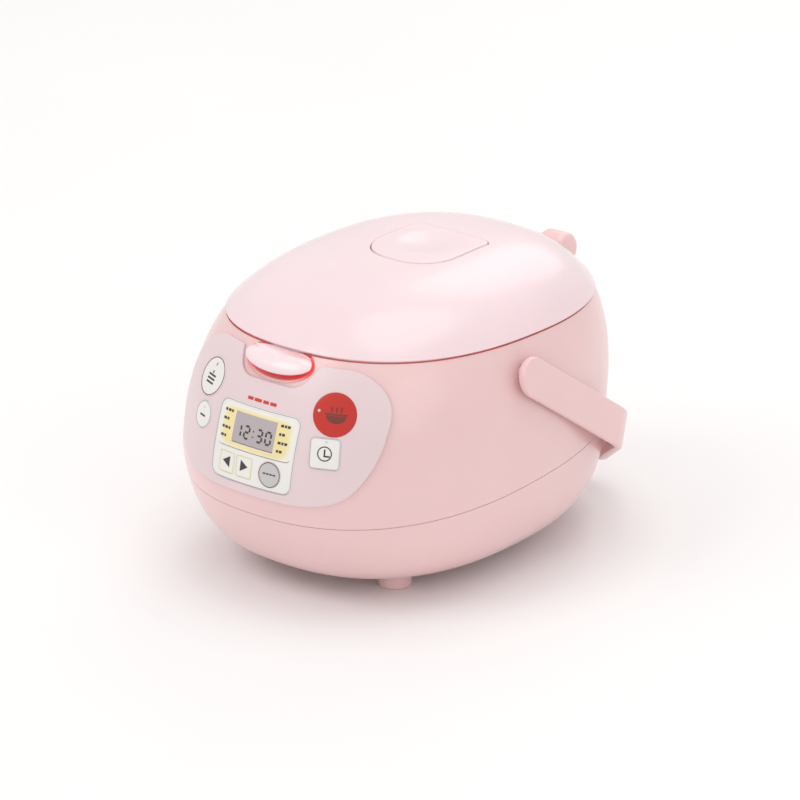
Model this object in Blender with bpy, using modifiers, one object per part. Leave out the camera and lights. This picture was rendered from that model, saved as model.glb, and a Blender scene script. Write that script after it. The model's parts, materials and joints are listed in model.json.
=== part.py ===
"""Small rice cooker with a hinged lid, a carrying handle and a front control panel.

Units are metres, +Z is up, the control panel faces -Y and the hinge is at +Y.
Every piece is modelled in the shape's own frame, whose Z axis runs through the
widest section of the body, and then hangs on the empty "cooker_root", which
centres the whole object over the origin.
"""

from math import cos, pi, radians, sin

import bmesh
import bpy
from mathutils import Matrix, Vector

# ---------------------------------------------------------------- driving sizes
# Outer form: stacked superellipse sections, wider in depth than in width.
BODY_HALF_WIDTH = 0.115
FRONT_DEPTH = 0.1426
REAR_DEPTH = 0.1476
PLAN_EXPONENT = 2.37
WIDEST_Z = 0.0812
UPPER_HEIGHT = 0.1083
LOWER_HEIGHT = 0.0736
UPPER_POWER = 2.33
UPPER_ROUND = 4.13
LOWER_POWER = 1.97
LOWER_ROUND = 7.23
UPPER_DRIFT = 0.179
LOWER_DRIFT = 0.098
BASE_Z = 0.0113

# The two seams are tilted planes, z = height + slope * y.
LID_SEAM_Z = 0.158
LID_SEAM_SLOPE = -0.0293
BASE_SEAM_Z = 0.0675
BASE_SEAM_SLOPE = 0.054
LID_SEAM_GAP = 0.0012
BASE_SEAM_GAP = 0.0006
LID_OVERHANG = 0.0013

WALL = 0.0022
BASE_WALL = 0.0025
CLEARANCE = 0.0004
RING_SEGMENTS = 32

# Cooking pot and what carries it.
POT_Y = 0.012
POT_RADIUS = 0.080
POT_WALL = 0.0018
POT_RIM_WIDTH = 0.0105
POT_RIM_RADIUS = POT_RADIUS + POT_RIM_WIDTH
POT_RIM_Z = 0.154
POT_BOTTOM_Z = 0.058
POT_CORNER = 0.020
DECK_THICKNESS = 0.0025
CASE_WALL = 0.0012
CASE_GAP = 0.0055
HEATER_RADIUS = 0.066
HEATER_THICKNESS = 0.007
SENSOR_RADIUS = 0.015
SENSOR_TRAVEL = 0.002

# Lid inside.
GASKET_DEPTH = 0.0032
INNER_LID_THICKNESS = 0.0014
LINER_THICKNESS = 0.0022

# Steam cap on the lid.
STEAM_HALF_WIDTH = 0.030
STEAM_FRONT_Y = -0.002
STEAM_REAR_Y = 0.062
STEAM_CENTRE_Y = 0.036
STEAM_CUP_RADIUS = 0.014
STEAM_CAP_THICKNESS = 0.003

# Rear hinge.
HINGE_Y = 0.1435
HINGE_Z = 0.159
HINGE_RADIUS = 0.0068
HINGE_HALF_LENGTH = 0.030
HINGE_EAR = 0.006
HINGE_HOUSING_RADIUS = 0.0115
HINGE_HOUSING_LENGTH = 0.020
HINGE_PIN_RADIUS = 0.002

# Carrying handle, at rest sloping down behind the body.
HANDLE_Y = -0.0042
HANDLE_Z = 0.1385
HANDLE_HALF_SPAN = BODY_HALF_WIDTH - 0.0011
HANDLE_WIDTH = 0.0254
HANDLE_THICKNESS = 0.0048
HANDLE_DROOP = radians(35)
HANDLE_SPLAY = radians(2.6)
HANDLE_LEAN = radians(12)
HANDLE_ARM = 0.107
HANDLE_REACH = 0.187
HANDLE_GRIP_HALF = 0.058
HANDLE_BEND = 0.025
HANDLE_PIN_RADIUS = 0.004

# Latch under the front edge of the lid.
LATCH_HALF_WIDTH = 0.026
LATCH_DEPTH = 0.0115
LATCH_HEIGHT = 0.0048
LATCH_Y = 0.0301 - FRONT_DEPTH
LATCH_Z = 0.1562
LATCH_TILT = radians(30)
LATCH_PIN_Y = LATCH_Y + 0.0155
LATCH_PIN_Z = 0.148
LATCH_PIN_RADIUS = 0.0015
SCOOP_RADII = (0.0285, 0.0145, 0.0135)
SCOOP_Y = LATCH_Y - 0.005
SCOOP_Z = 0.1585

# Control panel: layers are heights above the body's skin, measured outwards.
PANEL_LAYER = (0.0006, 0.0020)
BEZEL_LAYER = (0.0005, 0.0024)
LEGEND_LAYER = (0.0005, 0.0023)
WINDOW_LAYER = (0.0004, 0.0022)
BUTTON_LAYER = (0.0010, 0.0024)
KEY_LAYER = (0.0010, 0.0028)
BUTTON_TRAVEL = 0.0006
PANEL_TOP_Z = 0.1565
PANEL_BOTTOM_Z = 0.0748
PANEL_HALF_WIDTH = 0.0778
PANEL_NOTCH_Z = 0.1428
BEZEL_HALF_WIDTH = 0.0314
BEZEL_Z = (0.081, 0.128)
LEGEND_HALF_WIDTH = 0.0288
LEGEND_Z = (0.1012, 0.1264)
WINDOW_X = (-0.0172, 0.0155)
WINDOW_Z = (0.105, 0.1227)
BOARD_DEPTH = 0.019
BOARD_SIZE = (0.098, 0.056, 0.0016)
BOARD_CENTRE_Z = 0.112

# name: (x, z, half width, half height, corner radius, layer)
BUTTONS = {
    "cook_button": (0.049, 0.1324, 0.01365, 0.01365, 0.01365, BUTTON_LAYER),
    "keep_warm_button": (-0.0475, 0.1338, 0.01245, 0.01245, 0.01245, BUTTON_LAYER),
    "timer_button": (0.0488, 0.1098, 0.0097, 0.0097, 0.0028, BUTTON_LAYER),
    "cancel_button": (-0.0472, 0.1117, 0.0086, 0.0086, 0.0086, BUTTON_LAYER),
    "menu_button": (0.0156, 0.0914, 0.0080, 0.0080, 0.0080, KEY_LAYER),
    "hour_down_button": (-0.0185, 0.0914, 0.0062, 0.0065, 0.0012, KEY_LAYER),
    "hour_up_button": (-0.0044, 0.0914, 0.0062, 0.0065, 0.0012, KEY_LAYER),
}

# Feet, screws and power inlet.
FOOT_RADIUS = 0.0108
FOOT_X = 0.0495
FOOT_Y = 0.0605
SCREW_RADIUS = 0.0021
SCREW_HEAD_RADIUS = 0.0038
INLET_Y = 0.020
INLET_Z = 0.042
INLET_SIZE = (0.034, 0.022, 0.018)

# name: (colour, roughness, metallic)
FINISHES = {
    "pink": ((0.80, 0.50, 0.49), 0.32, 0.0),
    "panel": ((0.78, 0.62, 0.64), 0.35, 0.0),
    "white": ((0.85, 0.83, 0.80), 0.40, 0.0),
    "red": ((0.60, 0.03, 0.02), 0.35, 0.0),
    "cream": ((0.88, 0.74, 0.38), 0.45, 0.0),
    "silver": ((0.45, 0.44, 0.45), 0.35, 0.4),
    "lcd": ((0.42, 0.40, 0.42), 0.25, 0.0),
    "grey": ((0.30, 0.30, 0.31), 0.50, 0.0),
    "black": ((0.02, 0.02, 0.02), 0.45, 0.0),
    "steel": ((0.60, 0.60, 0.62), 0.30, 1.0),
    "aluminium": ((0.72, 0.72, 0.73), 0.35, 1.0),
    "rubber": ((0.65, 0.62, 0.60), 0.60, 0.0),
    "board": ((0.05, 0.22, 0.10), 0.50, 0.0),
}


# ---------------------------------------------------------------- scene helpers
def clear_scene():
    for old in list(bpy.data.objects):
        bpy.data.objects.remove(old, do_unlink=True)


def new_collection(name):
    collection = bpy.data.collections.new(name)
    bpy.context.scene.collection.children.link(collection)
    return collection


clear_scene()
PARTS = new_collection("rice_cooker")
CUTTERS = new_collection("cutters")


def new_empty(name, position, parent=None):
    """An empty at a place in the shape's frame; moving pieces hang on one."""
    empty = bpy.data.objects.new(name, None)
    empty.empty_display_size = 0.01
    empty.location = Vector(position)
    PARTS.objects.link(empty)
    empty.parent = parent
    return empty


ROOT = new_empty("cooker_root", (0, 0, 0))


def hang(obj, pivot):
    """Parent an object that is placed in the shape's frame."""
    obj.parent = pivot
    if pivot is not ROOT:
        obj.matrix_parent_inverse = Matrix.Translation(-pivot.location)


def finish_material(name, finish):
    colour, roughness, metallic = FINISHES[finish]
    material = bpy.data.materials.new(name + "_finish")
    material.use_nodes = True
    shader = material.node_tree.nodes["Principled BSDF"]
    shader.inputs["Base Color"].default_value = (*colour, 1.0)
    shader.inputs["Roughness"].default_value = roughness
    shader.inputs["Metallic"].default_value = metallic
    return material


def add_part(name, mesh, finish, pivot=None, matrix=None):
    obj = bpy.data.objects.new(name, mesh)
    mesh.name = name
    mesh.materials.clear()
    mesh.materials.append(finish_material(name, finish))
    mesh.shade_smooth()
    mesh.set_sharp_from_angle(angle=radians(35))
    PARTS.objects.link(obj)
    if matrix is not None:
        obj.matrix_local = matrix
    hang(obj, pivot or ROOT)
    return obj


def add_cutter(name, mesh, matrix=None):
    obj = bpy.data.objects.new(name, mesh)
    mesh.name = name
    CUTTERS.objects.link(obj)
    obj.hide_render = True
    obj.display_type = "WIRE"
    if matrix is not None:
        obj.matrix_local = matrix
    hang(obj, ROOT)
    return obj


def boolean(obj, cutter, operation="DIFFERENCE"):
    modifier = obj.modifiers.new(operation.lower() + "_" + cutter.name, "BOOLEAN")
    modifier.operation = operation
    modifier.solver = "EXACT"
    modifier.object = cutter


def solidify(obj, thickness):
    modifier = obj.modifiers.new("wall", "SOLIDIFY")
    modifier.thickness = thickness
    modifier.offset = -1
    modifier.use_even_offset = True


def bevel(obj, width, segments=2, angle=40):
    modifier = obj.modifiers.new("round_edges", "BEVEL")
    modifier.width = width
    modifier.segments = segments
    modifier.limit_method = "ANGLE"
    modifier.angle_limit = radians(angle)


# ---------------------------------------------------------------- mesh helpers
def to_mesh(bm):
    mesh = bpy.data.meshes.new("mesh")
    bm.to_mesh(mesh)
    bm.free()
    return mesh


def box_mesh(size):
    bm = bmesh.new()
    bmesh.ops.create_cube(bm, size=1)
    bmesh.ops.scale(bm, vec=Vector(size), verts=bm.verts)
    return to_mesh(bm)


def box_between(low, high):
    """A box from corner to corner, in the shape's frame."""
    mesh = box_mesh([b - a for a, b in zip(low, high)])
    mesh.transform(Matrix.Translation([(a + b) / 2 for a, b in zip(low, high)]))
    return mesh


def rod_mesh(radius, start, end, segments=16):
    """A cylinder from one point to another."""
    start, end = Vector(start), Vector(end)
    bm = bmesh.new()
    bmesh.ops.create_cone(
        bm, cap_ends=True, segments=segments, radius1=radius, radius2=radius,
        depth=(end - start).length,
    )
    mesh = to_mesh(bm)
    turn = (end - start).to_track_quat("Z", "Y").to_matrix().to_4x4()
    mesh.transform(Matrix.Translation((start + end) / 2) @ turn)
    return mesh


def ellipsoid_mesh(radii, centre, tilt=0.0, rings=10, segments=20):
    bm = bmesh.new()
    bmesh.ops.create_uvsphere(bm, u_segments=segments, v_segments=rings, radius=1)
    mesh = to_mesh(bm)
    place = Matrix.Translation(centre) @ Matrix.Rotation(tilt, 4, "X")
    mesh.transform(place @ Matrix.Diagonal((*radii, 1)))
    return mesh


def joined_mesh(meshes):
    """Several closed meshes in one, for a cutter made of separate shapes."""
    bm = bmesh.new()
    for mesh in meshes:
        bm.from_mesh(mesh)
        bpy.data.meshes.remove(mesh)
    return to_mesh(bm)


def loft_mesh(rings, cap_first=False, cap_last=False, pole=None):
    """Quads between rings of equal length, with flat caps or a pole."""
    bm = bmesh.new()
    loops = [[bm.verts.new(point) for point in ring] for ring in rings]
    count = len(loops[0])
    for below, above in zip(loops, loops[1:]):
        for i in range(count):
            j = (i + 1) % count
            bm.faces.new((below[i], below[j], above[j], above[i]))
    if cap_first:
        bm.faces.new(list(reversed(loops[0])))
    if cap_last:
        bm.faces.new(loops[-1])
    if pole is not None:
        tip = bm.verts.new(pole)
        for i in range(count):
            bm.faces.new((loops[-1][i], loops[-1][(i + 1) % count], tip))
    return to_mesh(bm)


def slab_mesh(high_point, low_point, u_range, v_range, columns, rows):
    """A closed sheet between two curved faces, each given as point(u, v)."""
    bm = bmesh.new()
    grids = []
    for point in (high_point, low_point):
        grid = []
        for row in range(rows + 1):
            v = v_range[0] + (v_range[1] - v_range[0]) * row / rows
            line = []
            for column in range(columns + 1):
                u = u_range[0] + (u_range[1] - u_range[0]) * column / columns
                line.append(bm.verts.new(point(u, v)))
            grid.append(line)
        grids.append(grid)
    for grid in grids:
        for row in range(rows):
            for column in range(columns):
                bm.faces.new((
                    grid[row][column], grid[row][column + 1],
                    grid[row + 1][column + 1], grid[row + 1][column],
                ))
    high, low = (grid_border(grid) for grid in grids)
    for i in range(len(high)):
        j = (i + 1) % len(high)
        bm.faces.new((high[i], high[j], low[j], low[i]))
    bmesh.ops.recalc_face_normals(bm, faces=bm.faces)
    if bm.calc_volume(signed=True) < 0:
        bmesh.ops.reverse_faces(bm, faces=bm.faces)
    return to_mesh(bm)


def grid_border(grid):
    right = [line[-1] for line in grid[1:-1]]
    left = [line[0] for line in grid[1:-1]]
    return grid[0] + right + grid[-1][::-1] + left[::-1]


def circle_outline(radius, segments=24):
    return [
        (radius * cos(2 * pi * i / segments), radius * sin(2 * pi * i / segments))
        for i in range(segments)
    ]


def rounded_outline(corners, steps=4):
    """A closed outline from (x, y, radius) corners, counter-clockwise."""
    points = []
    count = len(corners)
    for i, (x, y, radius) in enumerate(corners):
        corner = Vector((x, y))
        before = (Vector(corners[i - 1][:2]) - corner).normalized()
        after = (Vector(corners[(i + 1) % count][:2]) - corner).normalized()
        half = before.angle(after) / 2
        reach = radius / max(abs(sin(half) / cos(half)), 1e-6)
        centre = corner + (before + after).normalized() * (radius / sin(half))
        start = corner + before * reach - centre
        sweep = start.angle_signed(corner + after * reach - centre)
        for step in range(steps + 1):
            turn = -sweep * step / steps
            points.append(tuple(centre + Matrix.Rotation(turn, 2) @ start))
    return points


def box_outline(half_width, half_height, radius, centre=(0.0, 0.0), steps=3):
    x, y = centre
    if radius > 0.99 * min(half_width, half_height):
        return [(x + px, y + py) for px, py in circle_outline(radius)]
    return rounded_outline([
        (x - half_width, y - half_height, radius),
        (x + half_width, y - half_height, radius),
        (x + half_width, y + half_height, radius),
        (x - half_width, y + half_height, radius),
    ], steps)


def prism_mesh(outline, low, high):
    """A flat outline in XY extruded from z = low to z = high."""
    return loft_mesh(
        [[(x, y, low) for x, y in outline], [(x, y, high) for x, y in outline]],
        cap_first=True, cap_last=True,
    )


def turned_part(name, profile, centre, finish, pivot=None, closed=False, segments=28):
    """A piece turned about a vertical axis; the profile runs down its outside."""
    bm = bmesh.new()
    verts = [bm.verts.new((radius, 0, z)) for radius, z in profile]
    pairs = list(zip(verts, verts[1:]))
    if closed:
        pairs.append((verts[-1], verts[0]))
    for a, b in pairs:
        bm.edges.new((a, b))
    obj = add_part(name, to_mesh(bm), finish, pivot, Matrix.Translation(centre))
    screw = obj.modifiers.new("turn", "SCREW")
    screw.axis = "Z"
    screw.steps = segments
    screw.render_steps = segments
    screw.use_merge_vertices = True
    screw.merge_threshold = 0.00001
    screw.use_smooth_shade = True
    return obj


def ring_part(name, inner, outer, low, high, centre, finish, pivot=None, segments=28):
    profile = [(outer, high), (outer, low), (inner, low), (inner, high)]
    return turned_part(name, profile, centre, finish, pivot, True, segments)


def wire_part(name, points, radius, finish, pivot=None):
    """A round wire along a polyline, made into one closed mesh."""
    curve = bpy.data.curves.new(name, "CURVE")
    curve.dimensions = "3D"
    curve.bevel_depth = radius
    curve.bevel_resolution = 1
    curve.use_fill_caps = True
    spline = curve.splines.new("POLY")
    spline.points.add(len(points) - 1)
    for target, point in zip(spline.points, points):
        target.co = (*point, 1)
    guide = bpy.data.objects.new(name + "_guide", curve)
    CUTTERS.objects.link(guide)
    bpy.context.view_layer.update()
    depsgraph = bpy.context.evaluated_depsgraph_get()
    mesh = bpy.data.meshes.new_from_object(guide.evaluated_get(depsgraph))
    bpy.data.objects.remove(guide, do_unlink=True)
    bm = bmesh.new()
    bm.from_mesh(mesh)
    bmesh.ops.remove_doubles(bm, verts=bm.verts, dist=0.00001)
    bmesh.ops.recalc_face_normals(bm, faces=bm.faces)
    bm.to_mesh(mesh)
    bm.free()
    return add_part(name, mesh, finish, pivot)


def coil_points(centre, axis, radius, length, turns, per_turn=8):
    """Points of a coil spring about the X or Z axis, starting at its low end."""
    points = []
    count = int(turns * per_turn)
    for i in range(count + 1):
        angle = 2 * pi * i / per_turn
        along = length * i / count
        a, b = radius * cos(angle), radius * sin(angle)
        offset = (along, a, b) if axis == "X" else (a, b, along)
        points.append(Vector(centre) + Vector(offset))
    return points


# ---------------------------------------------------------------- outer form
def section_scale(z):
    """How wide the section at a height is, as a share of the widest one."""
    if z >= WIDEST_Z:
        share, power, roundness = (z - WIDEST_Z) / UPPER_HEIGHT, UPPER_POWER, UPPER_ROUND
    else:
        share, power, roundness = (WIDEST_Z - z) / LOWER_HEIGHT, LOWER_POWER, LOWER_ROUND
    return max(1 - share ** power, 0.0) ** (1 / roundness)


def upper_height(scale):
    """The height above the widest level where the section has a given scale."""
    return WIDEST_Z + UPPER_HEIGHT * (1 - scale ** UPPER_ROUND) ** (1 / UPPER_POWER)


def section_centre(z):
    drift = UPPER_DRIFT if z >= WIDEST_Z else -LOWER_DRIFT
    return drift * (z - WIDEST_Z)


def outline_point(angle, z, grow=0.0):
    scale = section_scale(z)
    depth = REAR_DEPTH if sin(angle) >= 0 else FRONT_DEPTH
    bend = 2 / PLAN_EXPONENT
    x = (BODY_HALF_WIDTH * scale + grow) * abs(cos(angle)) ** bend
    y = (depth * scale + grow) * abs(sin(angle)) ** bend
    x = x if cos(angle) >= 0 else -x
    y = y if sin(angle) >= 0 else -y
    return x, section_centre(z) + y


def outline_ring(z_mid, slope=0.0, grow=0.0):
    """The body's outline on the plane z = z_mid + slope * y."""
    ring = []
    for i in range(RING_SEGMENTS):
        angle = 2 * pi * i / RING_SEGMENTS
        z = z_mid
        for _ in range(4):
            x, y = outline_point(angle, z, grow)
            z = z_mid + slope * y
        ring.append((x, y, z))
    return ring


def front_y(x, z):
    scale = section_scale(z)
    share = min(abs(x) / (BODY_HALF_WIDTH * scale), 0.999)
    reach = (1 - share ** PLAN_EXPONENT) ** (1 / PLAN_EXPONENT)
    return section_centre(z) - FRONT_DEPTH * scale * reach


def front_normal(x, z):
    step = 0.0005
    across = Vector((2 * step, front_y(x + step, z) - front_y(x - step, z), 0))
    upward = Vector((0, front_y(x, z + step) - front_y(x, z - step), 2 * step))
    return across.cross(upward).normalized()


def front_point(x, z, out):
    return Vector((x, front_y(x, z), z)) + front_normal(x, z) * out


def front_frame(x, z):
    """A frame on the front skin: local Z points out, local Y points up."""
    out = front_normal(x, z)
    across = Vector((0, 0, 1)).cross(out).normalized()
    upward = out.cross(across)
    turn = Matrix((across, upward, out)).transposed().to_4x4()
    return Matrix.Translation(front_point(x, z, 0)) @ turn


def dome_z(x, y):
    """The height of the lid's top surface, found by halving."""
    low, high = WIDEST_Z, WIDEST_Z + UPPER_HEIGHT
    for _ in range(40):
        z = (low + high) / 2
        scale = max(section_scale(z), 1e-6)
        depth = REAR_DEPTH if y >= section_centre(z) else FRONT_DEPTH
        reach = abs(x / (BODY_HALF_WIDTH * scale)) ** PLAN_EXPONENT
        reach += abs((y - section_centre(z)) / (depth * scale)) ** PLAN_EXPONENT
        low, high = (z, high) if reach < 1 else (low, z)
    return low


def inner_volume(name, inset):
    """The whole outer form as a closed solid, shrunk by an inset."""
    top = WIDEST_Z + UPPER_HEIGHT
    shares = [0.0, 0.08, 0.2, 0.35, 0.5, 0.65, 0.78, 0.88, 0.94, 0.975]
    heights = [WIDEST_Z - LOWER_HEIGHT * share for share in reversed(shares[1:])]
    heights += [WIDEST_Z + UPPER_HEIGHT * share for share in shares]
    middle = section_centre(top)
    rings = []
    for z in heights:
        rings.append([(x, y, z) for x, y, z in outline_ring(z, 0.0, -inset)])
    mesh = loft_mesh(rings, cap_first=True, pole=(0, middle, top))
    squeeze = 1 - inset / UPPER_HEIGHT
    shift = Matrix.Translation((0, 0, WIDEST_Z))
    mesh.transform(shift @ Matrix.Diagonal((1, 1, squeeze, 1)) @ shift.inverted())
    return add_cutter(name, mesh)


FRONT_PLANE = Matrix.Rotation(radians(90), 4, "X")


def front_prism(name, outline):
    """A cutter that runs straight through the front, from an outline in X and Z."""
    reach = FRONT_DEPTH + 0.02
    return add_cutter(name, prism_mesh(outline, 0.06, reach), FRONT_PLANE)


def hinge_span(radius, low, high):
    return rod_mesh(radius, (low, HINGE_Y, HINGE_Z), (high, HINGE_Y, HINGE_Z), 24)


def hinge_rod(radius, half_length):
    return hinge_span(radius, -half_length, half_length)


# ---------------------------------------------------------------- derived levels
DECK_TOP_Z = POT_RIM_Z - 0.0025
DECK_BOTTOM_Z = DECK_TOP_Z - DECK_THICKNESS
CASE_RADIUS = POT_RADIUS + CASE_GAP
HEATER_TOP_Z = POT_BOTTOM_Z - CLEARANCE
HEATER_BOTTOM_Z = HEATER_TOP_Z - HEATER_THICKNESS
CASE_BOTTOM_Z = HEATER_BOTTOM_Z - 0.007
GASKET_BOTTOM_Z = POT_RIM_Z + CLEARANCE
INNER_LID_TOP_Z = GASKET_BOTTOM_Z + GASKET_DEPTH - 0.0004
LINER_BOTTOM_Z = GASKET_BOTTOM_Z + GASKET_DEPTH + CLEARANCE
LINER_TOP_Z = LINER_BOTTOM_Z + LINER_THICKNESS
STEAM_TOP_Z = dome_z(0, STEAM_CENTRE_Y)
STEAM_FLOOR_Z = LINER_TOP_Z + 0.0115
POT_CENTRE = (0, POT_Y, 0)
STEAM_CENTRE = (0, STEAM_CENTRE_Y, 0)
BEZEL_CENTRE_Z = (BEZEL_Z[0] + BEZEL_Z[1]) / 2
WINDOW_CENTRE = (sum(WINDOW_X) / 2, sum(WINDOW_Z) / 2)
HINGE_INNER_X = HINGE_HALF_LENGTH - HINGE_HOUSING_LENGTH
BODY_RIM_Z = LID_SEAM_Z - LID_SEAM_GAP / 2
LID_RIM_Z = LID_SEAM_Z + LID_SEAM_GAP / 2

LID_PIVOT = new_empty("lid_pivot", (0, HINGE_Y, HINGE_Z), ROOT)
HANDLE_PIVOT = new_empty("handle_pivot", (0, HANDLE_Y, HANDLE_Z), ROOT)
LATCH_PIVOT = new_empty("latch_pivot", (0, LATCH_PIN_Y, LATCH_PIN_Z), ROOT)
STEAM_PIVOT = new_empty("steam_pivot", (0, STEAM_CENTRE_Y, STEAM_TOP_Z), ROOT)
SENSOR_PIVOT = new_empty("sensor_pivot", (0, POT_Y, HEATER_TOP_Z), ROOT)

HINGE_ROOM = 0.0008
HINGE_CUTTER = add_cutter("hinge_clearance", joined_mesh([
    hinge_span(HINGE_RADIUS + HINGE_ROOM, -HINGE_HALF_LENGTH - 0.001, HINGE_INNER_X - 0.001),
    hinge_span(
        HINGE_HOUSING_RADIUS + HINGE_ROOM, HINGE_INNER_X - 0.001, HINGE_HALF_LENGTH + 0.001
    ),
]))
SCOOP_SKIN = 0.0016
SCOOP_CUTTER = add_cutter("scoop_clearance", ellipsoid_mesh(
    [radius + SCOOP_SKIN + CLEARANCE for radius in SCOOP_RADII], (0, SCOOP_Y, SCOOP_Z)
))


# ---------------------------------------------------------------- shells
def make_base_shell():
    seam = BASE_SEAM_Z - BASE_SEAM_GAP / 2
    rings = [outline_ring(BASE_Z)]
    for share in (0.06, 0.22, 0.55, 0.92, 1.0):
        height = BASE_Z + (seam - BASE_Z) * share
        rings.append(outline_ring(height, BASE_SEAM_SLOPE * share))
    obj = add_part("base_shell", loft_mesh(rings, cap_first=True), "pink")
    solidify(obj, BASE_WALL)
    holes = []
    for x, y in foot_places():
        holes.append(rod_mesh(SCREW_RADIUS + CLEARANCE, (x, y, 0), (x, y, 0.03), 16))
    boolean(obj, add_cutter("base_screw_holes", joined_mesh(holes)))
    boolean(obj, add_cutter("inlet_hole", inlet_box(CLEARANCE), inlet_frame()))
    return obj


def make_body_shell():
    seam = BASE_SEAM_Z + BASE_SEAM_GAP / 2
    rings = []
    for share in (0.0, 0.25, 0.5, 0.7, 0.86, 1.0):
        height = seam + (BODY_RIM_Z - seam) * share
        slope = BASE_SEAM_SLOPE + (LID_SEAM_SLOPE - BASE_SEAM_SLOPE) * share
        rings.append(outline_ring(height, slope))
    obj = add_part("body_shell", loft_mesh(rings), "pink")
    solidify(obj, WALL)
    opening = rounded_outline([
        (-0.052, 0.083, 0.008), (0.052, 0.083, 0.008), (0.066, 0.104, 0.010),
        (0.066, 0.1395, 0.006), (-0.066, 0.1395, 0.006), (-0.066, 0.104, 0.010),
    ])
    boolean(obj, front_prism("panel_opening", opening))
    boolean(obj, SCOOP_CUTTER)
    boolean(obj, HINGE_CUTTER)
    reach = BODY_HALF_WIDTH + 0.02
    pins = rod_mesh(
        HANDLE_PIN_RADIUS + 0.0020 + CLEARANCE, (-reach, HANDLE_Y, HANDLE_Z),
        (reach, HANDLE_Y, HANDLE_Z),
    )
    boolean(obj, add_cutter("handle_pin_holes", pins))
    return obj


def make_shoulder_deck():
    """The flat shoulder round the pot, inside the top of the body."""
    inset = WALL * 1.5 + CLEARANCE
    ring = outline_ring(DECK_TOP_Z, 0.0, -inset)
    outline = [(x, y) for x, y, z in ring]
    obj = add_part("shoulder_deck", prism_mesh(outline, DECK_BOTTOM_Z, DECK_TOP_Z), "pink")
    hole = rod_mesh(CASE_RADIUS - 0.002, (0, POT_Y, 0.12), (0, POT_Y, 0.18), 36)
    boolean(obj, add_cutter("deck_hole", hole))
    front = POT_Y - POT_RIM_RADIUS - 0.0075
    notch = box_between((-0.033, -0.16, 0.14), (0.033, front, 0.16))
    boolean(obj, add_cutter("deck_latch_notch", notch))
    boolean(obj, HINGE_CUTTER)
    return obj


def make_outer_lid():
    rim_scale = section_scale(LID_RIM_Z)
    rings = []
    rim = outline_ring(LID_RIM_Z, LID_SEAM_SLOPE, LID_OVERHANG)
    rings += [rim, [(x, y, z + 0.0014) for x, y, z in rim]]
    rings.append(outline_ring(LID_RIM_Z + 0.0055, LID_SEAM_SLOPE, LID_OVERHANG * 0.5))
    first = section_scale(LID_RIM_Z + 0.013) / rim_scale
    for share in (first, 0.84, 0.68, 0.45, 0.20):
        scale = rim_scale * share
        slope = LID_SEAM_SLOPE * max(share - 0.5, 0) * 2
        rings.append(outline_ring(upper_height(scale), slope))
    top = WIDEST_Z + UPPER_HEIGHT
    mesh = loft_mesh(rings, pole=(0, section_centre(top), top))
    obj = add_part("outer_lid", mesh, "pink", LID_PIVOT)
    solidify(obj, WALL)
    hole = prism_mesh(steam_outline(CLEARANCE), 0.16, 0.20)
    boolean(obj, add_cutter("steam_cap_hole", hole))
    boolean(obj, HINGE_CUTTER)
    tongue_room = box_between(
        (HINGE_EAR + 0.002 - HINGE_HALF_LENGTH, HINGE_Y - 0.012, LINER_TOP_Z),
        (HINGE_INNER_X - 0.002, HINGE_Y, LINER_TOP_Z + 0.0028),
    )
    boolean(obj, add_cutter("hinge_tongue_room", tongue_room))
    return obj


# ---------------------------------------------------------------- pot and heater
def make_inner_pot():
    corner = []
    for step in range(4):
        angle = pi / 2 * step / 3
        corner.append((
            POT_RADIUS - POT_CORNER + POT_CORNER * cos(angle),
            POT_BOTTOM_Z + POT_CORNER - POT_CORNER * sin(angle),
        ))
    inner = []
    small = POT_CORNER - POT_WALL
    for step in range(4):
        angle = pi / 2 * (3 - step) / 3
        inner.append((
            POT_RADIUS - POT_CORNER + small * cos(angle),
            POT_BOTTOM_Z + POT_CORNER - small * sin(angle),
        ))
    lip = POT_RIM_Z - POT_WALL
    rim = [(POT_RIM_RADIUS, POT_RIM_Z), (POT_RIM_RADIUS, lip), (POT_RADIUS, lip)]
    floor = POT_BOTTOM_Z + POT_WALL
    profile = rim + corner + [(0, POT_BOTTOM_Z), (0, floor)] + inner
    profile += [(POT_RADIUS - POT_WALL, POT_RIM_Z - 0.003), (POT_RADIUS + 0.001, POT_RIM_Z)]
    return turned_part("inner_pot", profile, POT_CENTRE, "grey", None, True)


def make_pot_support():
    top = DECK_BOTTOM_Z - CLEARANCE
    inside = CASE_RADIUS - CASE_WALL
    shelf = HEATER_RADIUS - 0.010
    turned_part("inner_case", [
        (CASE_RADIUS, top), (CASE_RADIUS, CASE_BOTTOM_Z), (shelf, CASE_BOTTOM_Z),
        (shelf, CASE_BOTTOM_Z + CASE_WALL), (inside, CASE_BOTTOM_Z + CASE_WALL), (inside, top),
    ], POT_CENTRE, "steel", None, True)
    ring_part(
        "side_heater_band", CASE_RADIUS + CLEARANCE, CASE_RADIUS + 0.0014,
        0.098, 0.118, POT_CENTRE, "aluminium",
    )
    hole = SENSOR_RADIUS + 0.002
    turned_part("heating_plate", [
        (HEATER_RADIUS - 0.004, HEATER_TOP_Z), (HEATER_RADIUS, HEATER_TOP_Z - 0.003),
        (HEATER_RADIUS, HEATER_BOTTOM_Z), (hole, HEATER_BOTTOM_Z), (hole, HEATER_TOP_Z),
    ], POT_CENTRE, "aluminium", None, True)
    rod = 0.0028
    ring_z = HEATER_BOTTOM_Z - rod - CLEARANCE
    profile = []
    for step in range(6):
        angle = -2 * pi * step / 6
        profile.append((0.046 + rod * cos(angle), ring_z + rod * sin(angle)))
    turned_part("heating_element", profile, POT_CENTRE, "steel", None, True, 24)


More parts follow.
